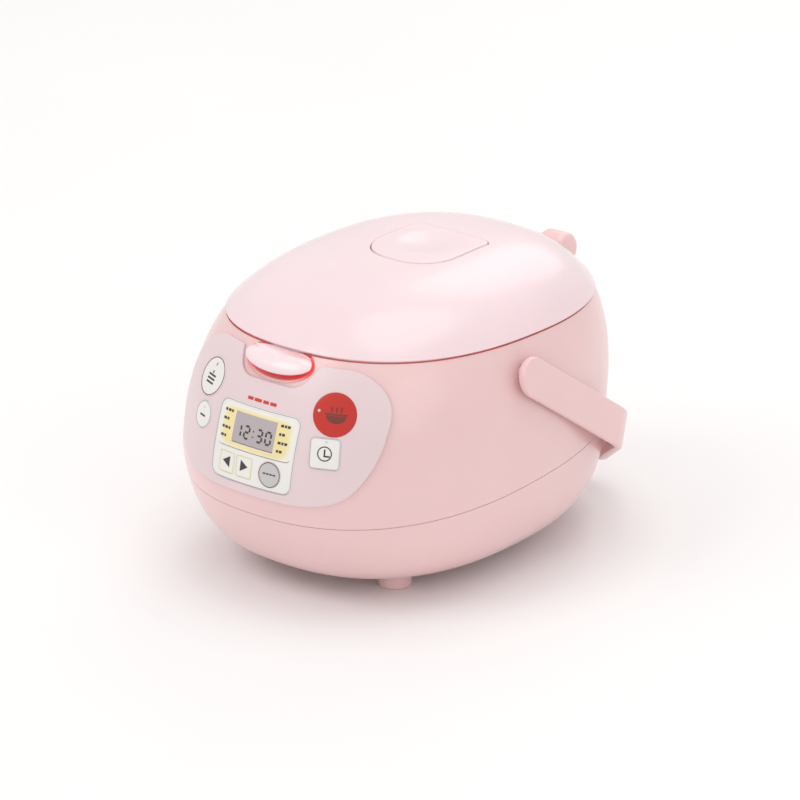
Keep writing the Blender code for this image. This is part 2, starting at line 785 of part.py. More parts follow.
def make_sensor():
    """A sprung cap that touches the middle of the pot's base."""
    top = HEATER_TOP_Z
    skin = 0.001
    skirt = top - 0.013
    turned_part("sensor_cap", [
        (0, top), (SENSOR_RADIUS - 0.001, top), (SENSOR_RADIUS, top - 0.001),
        (SENSOR_RADIUS, skirt), (SENSOR_RADIUS - skin, skirt),
        (SENSOR_RADIUS - skin, top - skin), (0, top - skin),
    ], POT_CENTRE, "aluminium", SENSOR_PIVOT, False, 24)
    floor = skirt - SENSOR_TRAVEL - 0.0016
    rim = HEATER_BOTTOM_Z - CLEARANCE
    cup = SENSOR_RADIUS + 0.0006
    turned_part("sensor_bracket", [
        (0.032, rim), (0.032, rim - skin), (cup + skin, rim - skin), (cup + skin, floor - skin),
        (0.003, floor - skin), (0.003, floor), (cup, floor), (cup, rim),
    ], POT_CENTRE, "steel", None, True, 24)
    wire = 0.0006
    start = (0, POT_Y, floor + wire + CLEARANCE)
    length = top - skin - SENSOR_TRAVEL - 2 * wire - 2 * CLEARANCE - floor
    points = coil_points(start, "Z", 0.009, length, 4)
    wire_part("sensor_spring", points, wire, "steel")


# ---------------------------------------------------------------- lid inside
def make_lid_inside():
    ring = outline_ring(LINER_TOP_Z, 0.0, -WALL * 1.9)
    outline = [(x, y) for x, y, z in ring]
    liner = add_part(
        "lid_liner", prism_mesh(outline, LINER_BOTTOM_Z, LINER_TOP_Z), "white", LID_PIVOT
    )
    spigot = rod_mesh(
        0.0104, (0, STEAM_CENTRE_Y, 0.14), (0, STEAM_CENTRE_Y, 0.18), 24
    )
    slot = box_between((-0.009, LATCH_PIN_Y - 0.003, 0.15), (0.009, LATCH_PIN_Y + 0.0105, 0.17))
    boolean(liner, add_cutter("liner_openings", joined_mesh([spigot, slot])))
    boolean(liner, HINGE_CUTTER)
    edge = POT_RADIUS + 0.0035
    ring_part(
        "inner_lid_gasket", edge + CLEARANCE, POT_RIM_RADIUS - 0.001,
        GASKET_BOTTOM_Z, GASKET_BOTTOM_Z + GASKET_DEPTH, POT_CENTRE, "rubber", LID_PIVOT,
    )
    low = INNER_LID_TOP_Z - INNER_LID_THICKNESS
    inner = turned_part("inner_lid", [
        (0, INNER_LID_TOP_Z), (edge, INNER_LID_TOP_Z), (edge, low), (0, low),
    ], POT_CENTRE, "aluminium", LID_PIVOT)
    holes = []
    for i in range(6):
        angle = 2 * pi * i / 6
        x, y = 0.006 * cos(angle), STEAM_CENTRE_Y + 0.006 * sin(angle)
        holes.append(rod_mesh(0.0017, (x, y, 0.14), (x, y, 0.17), 8))
    boolean(inner, add_cutter("steam_holes", joined_mesh(holes)))
    catch = box_between(
        (-0.008, LATCH_PIN_Y + 0.0058, LINER_TOP_Z + CLEARANCE),
        (0.008, LATCH_PIN_Y + 0.0125, LINER_TOP_Z + 0.0026),
    )
    add_part("lid_catch", catch, "steel", LID_PIVOT)


# ---------------------------------------------------------------- steam cap
def steam_outline(grow):
    side = STEAM_HALF_WIDTH + grow
    front, rear = STEAM_FRONT_Y - grow, STEAM_REAR_Y + grow
    soft = STEAM_HALF_WIDTH - 0.004
    return rounded_outline([
        (-side, front, soft), (side, front, soft), (side, rear, 0.006), (-side, rear, 0.006),
    ], 5)


def steam_surface(drop, dish):
    """The lid's surface lowered by drop, with a soft round dish in its middle."""
    def point(x, y):
        reach = Vector((x, y - STEAM_CENTRE_Y)).length / 0.022
        hollow = dish * max(1 - reach ** 2, 0) ** 2
        return (x, y, dome_z(x, y) - drop - hollow)
    return point


def make_steam_cap():
    side = STEAM_HALF_WIDTH + 0.002
    mesh = slab_mesh(
        steam_surface(-0.0005, 0.0014), steam_surface(STEAM_CAP_THICKNESS, 0.0),
        (-side, side), (STEAM_FRONT_Y - 0.002, STEAM_REAR_Y + 0.002), 6, 8,
    )
    cap = add_part("steam_cap", mesh, "pink", STEAM_PIVOT)
    outline = add_cutter("steam_cap_outline", prism_mesh(steam_outline(0), 0.15, 0.21))
    boolean(cap, outline, "INTERSECT")
    floor = STEAM_FLOOR_Z
    top = dome_z(STEAM_CUP_RADIUS, STEAM_CENTRE_Y) - STEAM_CAP_THICKNESS - 0.0009
    wall = 0.0016
    low = floor + 0.0006
    turned_part("steam_cap_base", [
        (STEAM_CUP_RADIUS, top), (STEAM_CUP_RADIUS, low), (0.004, low), (0.004, low + wall),
        (STEAM_CUP_RADIUS - wall, low + wall), (STEAM_CUP_RADIUS - wall, top),
    ], STEAM_CENTRE, "white", STEAM_PIVOT, True, 24)
    ring_part(
        "steam_gasket", STEAM_CUP_RADIUS + CLEARANCE, STEAM_CUP_RADIUS + 0.0024,
        low, low + 0.0026, STEAM_CENTRE, "rubber", STEAM_PIVOT, 24,
    )
    make_steam_well()


def make_steam_well():
    """The tub under the steam cap, with a spout down to the inner lid."""
    wall = 0.0014
    outer = steam_outline(CLEARANCE + wall)
    well = add_part(
        "steam_well", prism_mesh(outer, STEAM_FLOOR_Z - wall, 0.20), "white", LID_PIVOT
    )
    boolean(well, inner_volume("lid_inside_volume", WALL + 0.0006), "INTERSECT")
    inside = prism_mesh(steam_outline(CLEARANCE), STEAM_FLOOR_Z, 0.205)
    boolean(well, add_cutter("well_inside", inside))
    low = LINER_BOTTOM_Z
    spout = rod_mesh(
        0.0095, (0, STEAM_CENTRE_Y, low), (0, STEAM_CENTRE_Y, STEAM_FLOOR_Z - wall / 2), 24
    )
    boolean(well, add_cutter("well_spout", spout), "UNION")
    bore = rod_mesh(0.0078, (0, STEAM_CENTRE_Y, 0.14), (0, STEAM_CENTRE_Y, 0.18), 24)
    boolean(well, add_cutter("well_bore", bore))


# ---------------------------------------------------------------- hinge
def make_hinge():
    """A slim barrel whose right end is the larger housing of the lid damper."""
    outer_x = HINGE_HALF_LENGTH - HINGE_EAR
    ears = []
    for radius, low, high in (
        (HINGE_RADIUS, -HINGE_HALF_LENGTH, -outer_x),
        (HINGE_HOUSING_RADIUS, HINGE_INNER_X, HINGE_HALF_LENGTH),
    ):
        ears.append(hinge_span(radius, low, high))
        ears.append(box_between(
            (low, HINGE_Y - 0.030, DECK_TOP_Z + CLEARANCE), (high, HINGE_Y - 0.0055, HINGE_Z - 0.002)
        ))
    plate_top = DECK_TOP_Z + CLEARANCE + 0.0022
    plate = box_between(
        (-HINGE_HALF_LENGTH + 0.001, HINGE_Y - 0.0295, DECK_TOP_Z + CLEARANCE),
        (HINGE_HALF_LENGTH - 0.001, HINGE_Y - 0.014, plate_top),
    )
    bracket = add_part("hinge_bracket", plate, "pink")
    for index, ear in enumerate(ears):
        boolean(bracket, add_cutter("hinge_ear_%d" % index, ear), "UNION")
    hole = hinge_rod(HINGE_PIN_RADIUS + CLEARANCE, HINGE_HALF_LENGTH - 0.002)
    pin_hole = add_cutter("hinge_pin_hole", hole)
    boolean(bracket, pin_hole)

    left, right = -outer_x + CLEARANCE, HINGE_INNER_X - CLEARANCE
    arm = add_part("lid_hinge_arm", hinge_span(HINGE_RADIUS, left, right), "pink", LID_PIVOT)
    tongue = box_between(
        (left + 0.002, HINGE_Y - 0.030, LINER_TOP_Z + CLEARANCE),
        (right - 0.002, HINGE_Y - 0.0055, LINER_TOP_Z + 0.0024),
    )
    boolean(arm, add_cutter("hinge_tongue", tongue), "UNION")
    boolean(arm, pin_hole)
    coil_radius, wire, coil_length = HINGE_PIN_RADIUS + 0.0018, 0.0007, 0.015
    bay_radius = coil_radius + wire + 0.0005
    bay_left = (left + right - coil_length) / 2 - 0.002
    bay_right = bay_left + coil_length + 0.004
    bay = [
        hinge_span(bay_radius, bay_left, bay_right),
        box_between(
            (bay_left + 0.0001, HINGE_Y - bay_radius + 0.0002, HINGE_Z - 0.012),
            (bay_right - 0.0001, HINGE_Y + 0.0005, HINGE_Z - 0.001),
        ),
    ]
    for index, mesh in enumerate(bay):
        boolean(arm, add_cutter("spring_bay_%d" % index, mesh))

    pin_half = HINGE_HALF_LENGTH - 0.0025
    add_part("hinge_pin", hinge_rod(HINGE_PIN_RADIUS, pin_half), "steel")
    start = (bay_left + 0.002, HINGE_Y, HINGE_Z)
    points = coil_points(start, "X", coil_radius, coil_length, 4)
    wire_part("hinge_spring", points, wire, "steel")


# ---------------------------------------------------------------- handle
def bend(corner, source, target, steps=4):
    """Points of a round corner between two straight runs."""
    arriving = (source - corner).normalized()
    leaving = (target - corner).normalized()
    half = arriving.angle(leaving) / 2
    reach = HANDLE_BEND * cos(half) / sin(half)
    centre = corner + (arriving + leaving).normalized() * (HANDLE_BEND / sin(half))
    start = corner + arriving * reach - centre
    sweep = start.angle_signed(corner + leaving * reach - centre)
    return [
        centre + Matrix.Rotation(-sweep * step / steps, 2) @ start for step in range(steps + 1)
    ]


def handle_arm(along):
    """A point of the straight arm, as (x, distance from the pivot)."""
    return Vector((HANDLE_HALF_SPAN + along * sin(HANDLE_SPLAY), along))


def handle_path():
    """Centre line of half the bow, from the pivot's round end to the grip."""
    elbow = handle_arm(HANDLE_ARM)
    shoulder = Vector((HANDLE_GRIP_HALF, HANDLE_REACH))
    path = [handle_arm(HANDLE_ARM * share) for share in (0.0, 0.3, 0.6)]
    path += bend(elbow, handle_arm(0), shoulder)
    path += bend(shoulder, elbow, Vector((0, HANDLE_REACH)))
    return path


def handle_ring(place, outward, half_width):
    """One rounded-rectangle section of the strap, which leans towards the body."""
    lean = HANDLE_LEAN * max(-1, min(1, place.x / HANDLE_HALF_SPAN))
    axis = Vector((0, sin(HANDLE_DROOP), cos(HANDLE_DROOP)))
    along = outward.cross(axis).normalized()
    turn = Matrix.Rotation(abs(lean), 3, along)
    axis, outward = turn @ axis, turn @ outward
    half = HANDLE_THICKNESS / 2
    ring = []
    soft = min(0.0016, half_width * 0.45)
    for a, b in (
        (half, half_width - soft), (half - soft, half_width), (soft - half, half_width),
        (-half, half_width - soft), (-half, soft - half_width), (soft - half, -half_width),
        (half - soft, -half_width), (half, soft - half_width),
    ):
        ring.append(place + outward * a + axis * b)
    return ring


def handle_place(point):
    """From (x, distance from the pivot) to the shape's frame."""
    x, along = point
    return Vector((
        x, HANDLE_Y + along * cos(HANDLE_DROOP), HANDLE_Z - along * sin(HANDLE_DROOP)
    ))


def make_handle():
    half_width = HANDLE_WIDTH / 2
    flat = []
    widths = []
    for step in range(5):
        angle = step * pi / 10
        flat.append(handle_arm(-half_width * cos(angle)))
        widths.append(half_width * max(sin(angle), 0.12))
    bow = handle_path()
    flat += bow
    widths += [half_width] * len(bow)
    flat += [Vector((-p.x, p.y)) for p in reversed(flat)]
    widths += widths[::-1]
    rings = []
    for i, (point, width) in enumerate(zip(flat, widths)):
        ahead = flat[min(i + 1, len(flat) - 1)] - flat[max(i - 1, 0)]
        ahead.normalize()
        side = Vector((ahead.y, -ahead.x))
        outward = Vector((
            side.x, side.y * cos(HANDLE_DROOP), -side.y * sin(HANDLE_DROOP)
        ))
        rings.append(handle_ring(handle_place(point), outward, width))
    mesh = loft_mesh(rings, cap_first=True, cap_last=True)
    bm = bmesh.new()
    bm.from_mesh(mesh)
    bmesh.ops.recalc_face_normals(bm, faces=bm.faces)
    bm.to_mesh(mesh)
    bm.free()
    handle = add_part("handle", mesh, "pink", HANDLE_PIVOT)
    inner_face = HANDLE_HALF_SPAN - HANDLE_THICKNESS / 2
    sockets = []
    for side in (-1, 1):
        sockets.append(rod_mesh(
            HANDLE_PIN_RADIUS + 0.0003, (side * (inner_face - 0.006), HANDLE_Y, HANDLE_Z),
            (side * (inner_face + 0.0028), HANDLE_Y, HANDLE_Z),
        ))
    boolean(handle, add_cutter("handle_sockets", joined_mesh(sockets)))


def make_handle_pivots():
    """Stepped pins that stick out of the body's sides and carry the handle."""
    depth = FRONT_DEPTH * section_scale(HANDLE_Z)
    share = abs((HANDLE_Y - section_centre(HANDLE_Z)) / depth)
    skin = BODY_HALF_WIDTH * section_scale(HANDLE_Z)
    skin *= (1 - share ** PLAN_EXPONENT) ** (1 / PLAN_EXPONENT)
    inner_face = HANDLE_HALF_SPAN - HANDLE_THICKNESS / 2
    tip = inner_face + 0.0022
    step = inner_face - 0.0021
    boss = HANDLE_PIN_RADIUS + 0.0020
    flange = HANDLE_PIN_RADIUS + 0.0040
    inside = skin - WALL - BODY_HALF_WIDTH * 0.0383
    stops = [
        (0, tip), (HANDLE_PIN_RADIUS, tip), (HANDLE_PIN_RADIUS, step), (boss, step),
        (boss, inside), (flange, inside), (flange, inside - 0.003), (0, inside - 0.003),
    ]
    for name, side in (("handle_pivot_left", -1), ("handle_pivot_right", 1)):
        pin = turned_part(name, stops, (0, 0, 0), "pink", None, False, 16)
        pin.matrix_local = (
            Matrix.Translation((0, HANDLE_Y, HANDLE_Z)) @ Matrix.Rotation(side * pi / 2, 4, "Y")
        )


# ---------------------------------------------------------------- latch
def make_latch():
    inner = ellipsoid_mesh(SCOOP_RADII, (0, SCOOP_Y, SCOOP_Z))
    outer = ellipsoid_mesh(
        [radius + SCOOP_SKIN for radius in SCOOP_RADII], (0, SCOOP_Y, SCOOP_Z)
    )
    housing = add_part("latch_housing", outer, "pink")
    lid_line = LID_SEAM_Z + LID_SEAM_SLOPE * LATCH_Y - 0.0016
    trim = box_between((-0.05, LATCH_Y - 0.08, lid_line), (0.05, 0.0, 0.2))
    rear_trim = box_between(
        (-0.05, LATCH_PIN_Y - 0.010, LINER_BOTTOM_Z - 0.0006), (0.05, 0.01, 0.21)
    )
    for side in (-1, 1):
        low, high = sorted((side * 0.0115, side * 0.0145))
        cheek = box_between(
            (low, LATCH_PIN_Y - 0.010, LATCH_PIN_Z - 0.005),
            (high, LATCH_PIN_Y + 0.004, LATCH_PIN_Z + 0.0055),
        )
        boolean(housing, add_cutter("latch_cheek_%d" % (side + 1), cheek), "UNION")
    boolean(housing, add_cutter("scoop_inside", inner))
    boolean(housing, add_cutter("scoop_trim", trim))
    boolean(housing, add_cutter("scoop_rear_trim", rear_trim))
    boolean(housing, inner_volume("body_inside_volume", CLEARANCE), "INTERSECT")
    slot = box_between(
        (-0.0095, LATCH_PIN_Y - 0.015, 0.1465), (0.0095, LATCH_PIN_Y + 0.007, 0.158)
    )
    boolean(housing, add_cutter("latch_slot", slot))
    pin_span = 0.0165
    hole = rod_mesh(
        LATCH_PIN_RADIUS + 0.0003, (-0.03, LATCH_PIN_Y, LATCH_PIN_Z), (0.03, LATCH_PIN_Y, LATCH_PIN_Z),
        16,
    )
    pin_hole = add_cutter("latch_pin_hole", hole)
    boolean(housing, pin_hole)
    pin = rod_mesh(
        LATCH_PIN_RADIUS, (-pin_span, LATCH_PIN_Y, LATCH_PIN_Z),
        (pin_span, LATCH_PIN_Y, LATCH_PIN_Z), 16,
    )
    add_part("latch_pin", pin, "steel")

    lens = ellipsoid_mesh(
        (LATCH_HALF_WIDTH, LATCH_DEPTH, LATCH_HEIGHT), (0, LATCH_Y, LATCH_Z), LATCH_TILT
    )
    tongue = add_part("latch_button", lens, "pink", LATCH_PIVOT)
    room = ellipsoid_mesh([radius - 0.0008 for radius in SCOOP_RADII], (0, SCOOP_Y, SCOOP_Z))
    boolean(tongue, add_cutter("latch_room", room), "INTERSECT")
    above = box_between(
        (-0.05, LATCH_Y - 0.03, LID_SEAM_Z + 0.0022), (0.05, LATCH_Y + 0.03, 0.18)
    )
    boolean(tongue, add_cutter("latch_top_trim", above))
    arm = [
        box_between((-0.008, LATCH_PIN_Y - 0.0125, 0.1515), (0.008, LATCH_PIN_Y + 0.004, 0.1568)),
        rod_mesh(0.0042, (-0.008, LATCH_PIN_Y, LATCH_PIN_Z), (0.008, LATCH_PIN_Y, LATCH_PIN_Z)),
        box_between((-0.0078, LATCH_PIN_Y - 0.0038, LATCH_PIN_Z), (0.0078, LATCH_PIN_Y + 0.0038, 0.153)),
        box_between((-0.005, LATCH_PIN_Y + 0.001, 0.154), (0.005, LATCH_PIN_Y + 0.0038, 0.1638)),
        box_between((-0.0048, LATCH_PIN_Y + 0.002, 0.1618), (0.0048, LATCH_PIN_Y + 0.0054, 0.1636)),
    ]
    for index, mesh in enumerate(arm):
        boolean(tongue, add_cutter("latch_arm_%d" % index, mesh), "UNION")
    boolean(tongue, pin_hole)

    wire = 0.0005
    start = (0, LATCH_PIN_Y - 0.0072, 0.1448)
    points = coil_points(start, "Z", 0.0022, 0.0050, 3, 8)
    wire_part("latch_spring", points, wire, "steel")


# ---------------------------------------------------------------- control panel
def panel_outline():
    right = [
        (0.0310, PANEL_TOP_Z, 0.0020), (0.0560, PANEL_TOP_Z - 0.0005, 0.0350),
        (PANEL_HALF_WIDTH, 0.1410, 0.0280), (PANEL_HALF_WIDTH, 0.1060, 0.0550),
        (0.0640, 0.0805, 0.0260), (0.0380, PANEL_BOTTOM_Z, 0.1000),
    ]
    notch = [(0.0230, PANEL_NOTCH_Z, 0.0130)]
    clockwise = notch + right + [(-x, z, r) for x, z, r in reversed(notch + right)]
    return rounded_outline(clockwise[::-1])


def front_layer(layer, x_range, z_range, columns, rows):
    low, high = layer
    return slab_mesh(
        lambda x, z: front_point(x, z, high), lambda x, z: front_point(x, z, low),
        x_range, z_range, columns, rows,
    )


def button_outline(name, grow=0.0):
    x, z, half_width, half_height, radius, layer = BUTTONS[name]
    return box_outline(half_width + grow, half_height + grow, radius + grow)


def board_plane():
    frame = front_frame(0, BOARD_CENTRE_Z)
    return frame @ Matrix.Translation((0, 0, -BOARD_DEPTH))


def button_reach(name):
    """How far a button's stem runs in to its switch on the control board."""
    x, z = BUTTONS[name][:2]
    plane = board_plane()
    facing = plane.to_3x3() @ Vector((0, 0, 1))
    away = front_point(x, z, 0) - plane.translation
    return away.dot(facing) / front_normal(x, z).dot(facing)


def make_button(name, finish):
    x, z, half_width, half_height, radius, layer = BUTTONS[name]
    frame = front_frame(x, z)
    margin = 1.35
    mesh = front_layer(
        layer, (x - half_width * margin, x + half_width * margin),
        (z - half_height * margin, z + half_height * margin), 4, 4,
    )
    mesh.transform(frame.inverted())
    button = add_part(name, mesh, finish, None, frame)
    edge = add_cutter(name + "_edge", prism_mesh(button_outline(name), -0.01, 0.01), frame)
    boolean(button, edge, "INTERSECT")
    length = button_reach(name) - BUTTON_TRAVEL - 0.0018
    stem = rod_mesh(0.0022, (0, 0, -length), (0, 0, layer[0] + 0.0006), 12)
    boolean(button, add_cutter(name + "_stem", stem, frame), "UNION")
    return button


def button_holes(names):
    """One prism for each button, wider than it by the running clearance."""
    prisms = []
    for name in names:
        x, z = BUTTONS[name][:2]
        mesh = prism_mesh(button_outline(name, CLEARANCE), -0.01, 0.01)
        mesh.transform(front_frame(x, z))
        prisms.append(mesh)
    return joined_mesh(prisms)


def make_control_panel():
    span = PANEL_HALF_WIDTH + 0.003
    mesh = front_layer(
        PANEL_LAYER, (-span, span), (PANEL_BOTTOM_Z - 0.004, PANEL_TOP_Z + 0.002), 20, 6
    )
    panel = add_part("control_panel", mesh, "panel")
    boolean(panel, front_prism("panel_outline", panel_outline()), "INTERSECT")
    half_height = (BEZEL_Z[1] - BEZEL_Z[0]) / 2
    centre = (0, BEZEL_CENTRE_Z)
    bezel_hole = box_outline(
        BEZEL_HALF_WIDTH + CLEARANCE, half_height + CLEARANCE, 0.006 + CLEARANCE, centre
    )
    boolean(panel, front_prism("bezel_hole", bezel_hole))
    large = ["cook_button", "keep_warm_button", "timer_button", "cancel_button"]
    boolean(panel, add_cutter("panel_button_holes", button_holes(large)))

    bezel_z = (BEZEL_Z[0] - 0.002, BEZEL_Z[1] + 0.002)
    mesh = front_layer(BEZEL_LAYER, (-0.034, 0.034), bezel_z, 6, 5)
    bezel = add_part("display_bezel", mesh, "white")
    edge = box_outline(BEZEL_HALF_WIDTH, half_height, 0.006, centre)
    boolean(bezel, front_prism("bezel_outline", edge), "INTERSECT")
    legend_centre = (0, sum(LEGEND_Z) / 2)
    legend_half = (LEGEND_Z[1] - LEGEND_Z[0]) / 2
    hole = box_outline(
        LEGEND_HALF_WIDTH + CLEARANCE, legend_half + CLEARANCE, 0.0015, legend_centre, 2
    )
    boolean(bezel, front_prism("legend_hole", hole))
    keys = ["menu_button", "hour_down_button", "hour_up_button"]
    boolean(bezel, add_cutter("bezel_key_holes", button_holes(keys)))

    mesh = front_layer(
        LEGEND_LAYER, (-0.031, 0.031), (LEGEND_Z[0] - 0.002, LEGEND_Z[1] + 0.002), 6, 3
    )
    legend = add_part("legend_plate", mesh, "cream")
    edge = box_outline(LEGEND_HALF_WIDTH, legend_half, 0.0012, legend_centre, 2)
    boolean(legend, front_prism("legend_outline", edge), "INTERSECT")
    half = ((WINDOW_X[1] - WINDOW_X[0]) / 2, (WINDOW_Z[1] - WINDOW_Z[0]) / 2)
    hole = box_outline(half[0] + CLEARANCE, half[1] + CLEARANCE, 0.001, WINDOW_CENTRE, 2)
    boolean(legend, front_prism("window_hole", hole))
    mesh = front_layer(
        WINDOW_LAYER, (WINDOW_X[0] - 0.001, WINDOW_X[1] + 0.001),
        (WINDOW_Z[0] - 0.001, WINDOW_Z[1] + 0.001), 6, 4,
    )
    window = add_part("display_window", mesh, "lcd")
    edge = box_outline(half[0], half[1], 0.0007, WINDOW_CENTRE, 2)
    boolean(window, front_prism("window_outline", edge), "INTERSECT")


def make_controls():
    for name, finish in (
        ("cook_button", "red"), ("keep_warm_button", "white"), ("timer_button", "white"),
        ("cancel_button", "white"), ("menu_button", "silver"),
        ("hour_down_button", "white"), ("hour_up_button", "white"),
    ):
        make_button(name, finish)
    module = front_frame(*WINDOW_CENTRE) @ Matrix.Translation((0, 0, -0.0045))
    add_part("lcd_module", box_mesh((0.037, 0.0215, 0.0055)), "grey", None, module)
    plane = board_plane()
    board = add_part("control_board", box_mesh(BOARD_SIZE), "board", None, plane)
    board.data.transform(Matrix.Translation((0, 0, -BOARD_SIZE[2] / 2)))
    switches = []
    for name in BUTTONS:
        x, z = BUTTONS[name][:2]
        spot = front_point(x, z, -button_reach(name))
        spot = plane.inverted() @ spot
        inside = Vector((
            max(min(spot.x, BOARD_SIZE[0] / 2 - 0.004), 0.004 - BOARD_SIZE[0] / 2), spot.y, 0
        ))
        switches.append(rod_mesh(
            0.003, inside - Vector((0, 0, 0.0007)), inside + Vector((0, 0, 0.0008)), 10
        ))
    boolean(board, add_cutter("board_switches", joined_mesh(switches), plane), "UNION")


# ---------------------------------------------------------------- base fittings
def foot_places():
    return [(x, y) for y in (-FOOT_Y, FOOT_Y) for x in (-FOOT_X, FOOT_X)]


def make_feet():
    for index, (x, y) in enumerate(foot_places(), 1):
        top = BASE_Z - CLEARANCE
        bore = SCREW_RADIUS + CLEARANCE
        well = SCREW_HEAD_RADIUS + CLEARANCE
        turned_part("foot_%d" % index, [
            (FOOT_RADIUS, top), (FOOT_RADIUS, 0.001), (FOOT_RADIUS - 0.001, 0), (well, 0),
            (well, 0.0045), (bore, 0.0045), (bore, top),
        ], (x, y, 0), "pink", None, True, 16)
        head = 0.0045 - CLEARANCE
        turned_part("base_screw_%d" % index, [
            (0, BASE_Z + 0.009), (SCREW_RADIUS, BASE_Z + 0.009), (SCREW_RADIUS, head),
            (SCREW_HEAD_RADIUS, head), (SCREW_HEAD_RADIUS, head - 0.0022), (0, head - 0.0022),
        ], (x, y, 0), "steel", None, False, 8)


def inlet_frame():
    """A frame on the left side of the base, local Z pointing out of the wall."""
    def skin(z):
        share = abs((INLET_Y - section_centre(z)) / (REAR_DEPTH * section_scale(z)))
        reach = (1 - share ** PLAN_EXPONENT) ** (1 / PLAN_EXPONENT)
        return BODY_HALF_WIDTH * section_scale(z) * reach
    step = 0.001
    lean = (skin(INLET_Z + step) - skin(INLET_Z - step)) / (2 * step)
    out = Vector((-1, 0, -lean)).normalized()
    across = Vector((0, -1, 0))
    upward = out.cross(across)
    turn = Matrix((across, upward, out)).transposed().to_4x4()
    return Matrix.Translation((-skin(INLET_Z), INLET_Y, INLET_Z)) @ turn


def inlet_box(grow):
    width, height, depth = INLET_SIZE
    outline = box_outline(width / 2 + grow, height / 2 + grow, 0.004 + grow)
    return prism_mesh(outline, 0.0012 - depth - grow, 0.0012 + grow)


def make_power_side():
    frame = inlet_frame()
    inlet = add_part("power_inlet", inlet_box(0), "black", None, frame)
    width, height, depth = INLET_SIZE
    recess = prism_mesh(
        box_outline(width / 2 - 0.003, height / 2 - 0.003, 0.0025), 0.004 - depth, 0.01
    )
    boolean(inlet, add_cutter("inlet_recess", recess, frame))
    holes = []
    for name, side in (("inlet_pin_1", -1), ("inlet_pin_2", 1)):
        x = side * 0.0065
        pin = rod_mesh(0.0022, (x, 0, -depth - 0.004), (x, 0, -0.0035), 16)
        add_part(name, pin, "steel", None, frame)
        holes.append(rod_mesh(0.0022 + CLEARANCE, (x, 0, -0.03), (x, 0, -0.005), 16))
    boolean(inlet, add_cutter("inlet_pin_holes", joined_mesh(holes), frame))
    floor = BASE_Z + BASE_WALL
    board = box_between((-0.036, -0.052, floor + 0.008), (0.036, 0.040, floor + 0.0096))
    add_part("power_board", board, "board")
    core = box_between((-0.020, -0.030, floor + 0.0100), (0.012, 0.002, floor + 0.0235))
    transformer = add_part("transformer", core, "grey")
    bevel(transformer, 0.0015)


make_base_shell()
make_body_shell()
make_shoulder_deck()
make_outer_lid()
make_inner_pot()
make_pot_support()
make_sensor()
make_lid_inside()
make_steam_cap()
make_hinge()
make_handle()
make_handle_pivots()
make_latch()
make_control_panel()
make_controls()
make_feet()
make_power_side()


# ---------------------------------------------------------------- centring
def centre_over_origin():
    """Move the root so that the whole object's box is centred on Y = 0."""
    bpy.context.view_layer.update()
    depsgraph = bpy.context.evaluated_depsgraph_get()
    reach = []
    for obj in PARTS.objects:
        if obj.type == "MESH":
            evaluated = obj.evaluated_get(depsgraph)
            reach += [(obj.matrix_world @ v.co).y for v in evaluated.data.vertices]
    ROOT.location.y = -(min(reach) + max(reach)) / 2


centre_over_origin()
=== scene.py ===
"""Looks of a small rice cooker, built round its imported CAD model.

The visible shells, controls, handle and fittings are made again as fine meshes on the
same outer form as the solids; pieces that are only seen inside keep their CAD shape and
get a material. Units are metres. Every mesh is modelled in the form's own frame, whose
Z axis runs through the widest section, and is then moved to where the CAD stands.
"""

import json
from math import cos, pi, radians, sin, tan

import bmesh
import bpy
import numpy as np
from mathutils import Matrix, Vector


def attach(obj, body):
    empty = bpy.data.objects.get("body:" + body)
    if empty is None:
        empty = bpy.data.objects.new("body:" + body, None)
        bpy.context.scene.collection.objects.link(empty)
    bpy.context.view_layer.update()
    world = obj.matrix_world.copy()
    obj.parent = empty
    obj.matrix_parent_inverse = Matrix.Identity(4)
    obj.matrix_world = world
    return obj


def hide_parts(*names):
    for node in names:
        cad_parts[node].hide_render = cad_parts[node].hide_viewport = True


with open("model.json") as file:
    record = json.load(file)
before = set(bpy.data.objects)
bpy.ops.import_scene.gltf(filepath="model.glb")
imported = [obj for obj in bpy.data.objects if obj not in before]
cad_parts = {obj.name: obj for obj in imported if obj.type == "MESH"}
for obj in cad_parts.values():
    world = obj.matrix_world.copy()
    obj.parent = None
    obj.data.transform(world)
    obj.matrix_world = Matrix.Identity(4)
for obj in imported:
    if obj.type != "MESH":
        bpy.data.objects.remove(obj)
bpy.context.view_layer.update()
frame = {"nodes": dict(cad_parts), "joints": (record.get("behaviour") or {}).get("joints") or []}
NODES = frame["nodes"]
JOINTS = {joint["name"]: joint for joint in frame["joints"]}

# ---------------------------------------------------------------- sizes of the form
BODY_HALF_WIDTH = 0.115
FRONT_DEPTH = 0.1426
REAR_DEPTH = 0.1476
PLAN_EXPONENT = 2.37
WIDEST_Z = 0.0812
UPPER_HEIGHT = 0.1083
LOWER_HEIGHT = 0.0736
UPPER_POWER = 2.33
UPPER_ROUND = 4.13
LOWER_POWER = 1.97
LOWER_ROUND = 7.23
UPPER_DRIFT = 0.179
LOWER_DRIFT = 0.098
DRIFT_BLEND = 0.006
BASE_Z = 0.0113
TOP_Z = WIDEST_Z + UPPER_HEIGHT
RING_POINTS = 224

LID_SEAM_Z = 0.158
LID_SEAM_SLOPE = -0.0293
BASE_SEAM_Z = 0.0675
BASE_SEAM_SLOPE = 0.054
LID_SEAM_GAP = 0.0008
BASE_SEAM_GAP = 0.0004
LID_OVERHANG = 0.0013
OVERHANG_FADE = 0.014
WALL = 0.0022
CLEARANCE = 0.0004
SEAM_SOFT = 0.0004

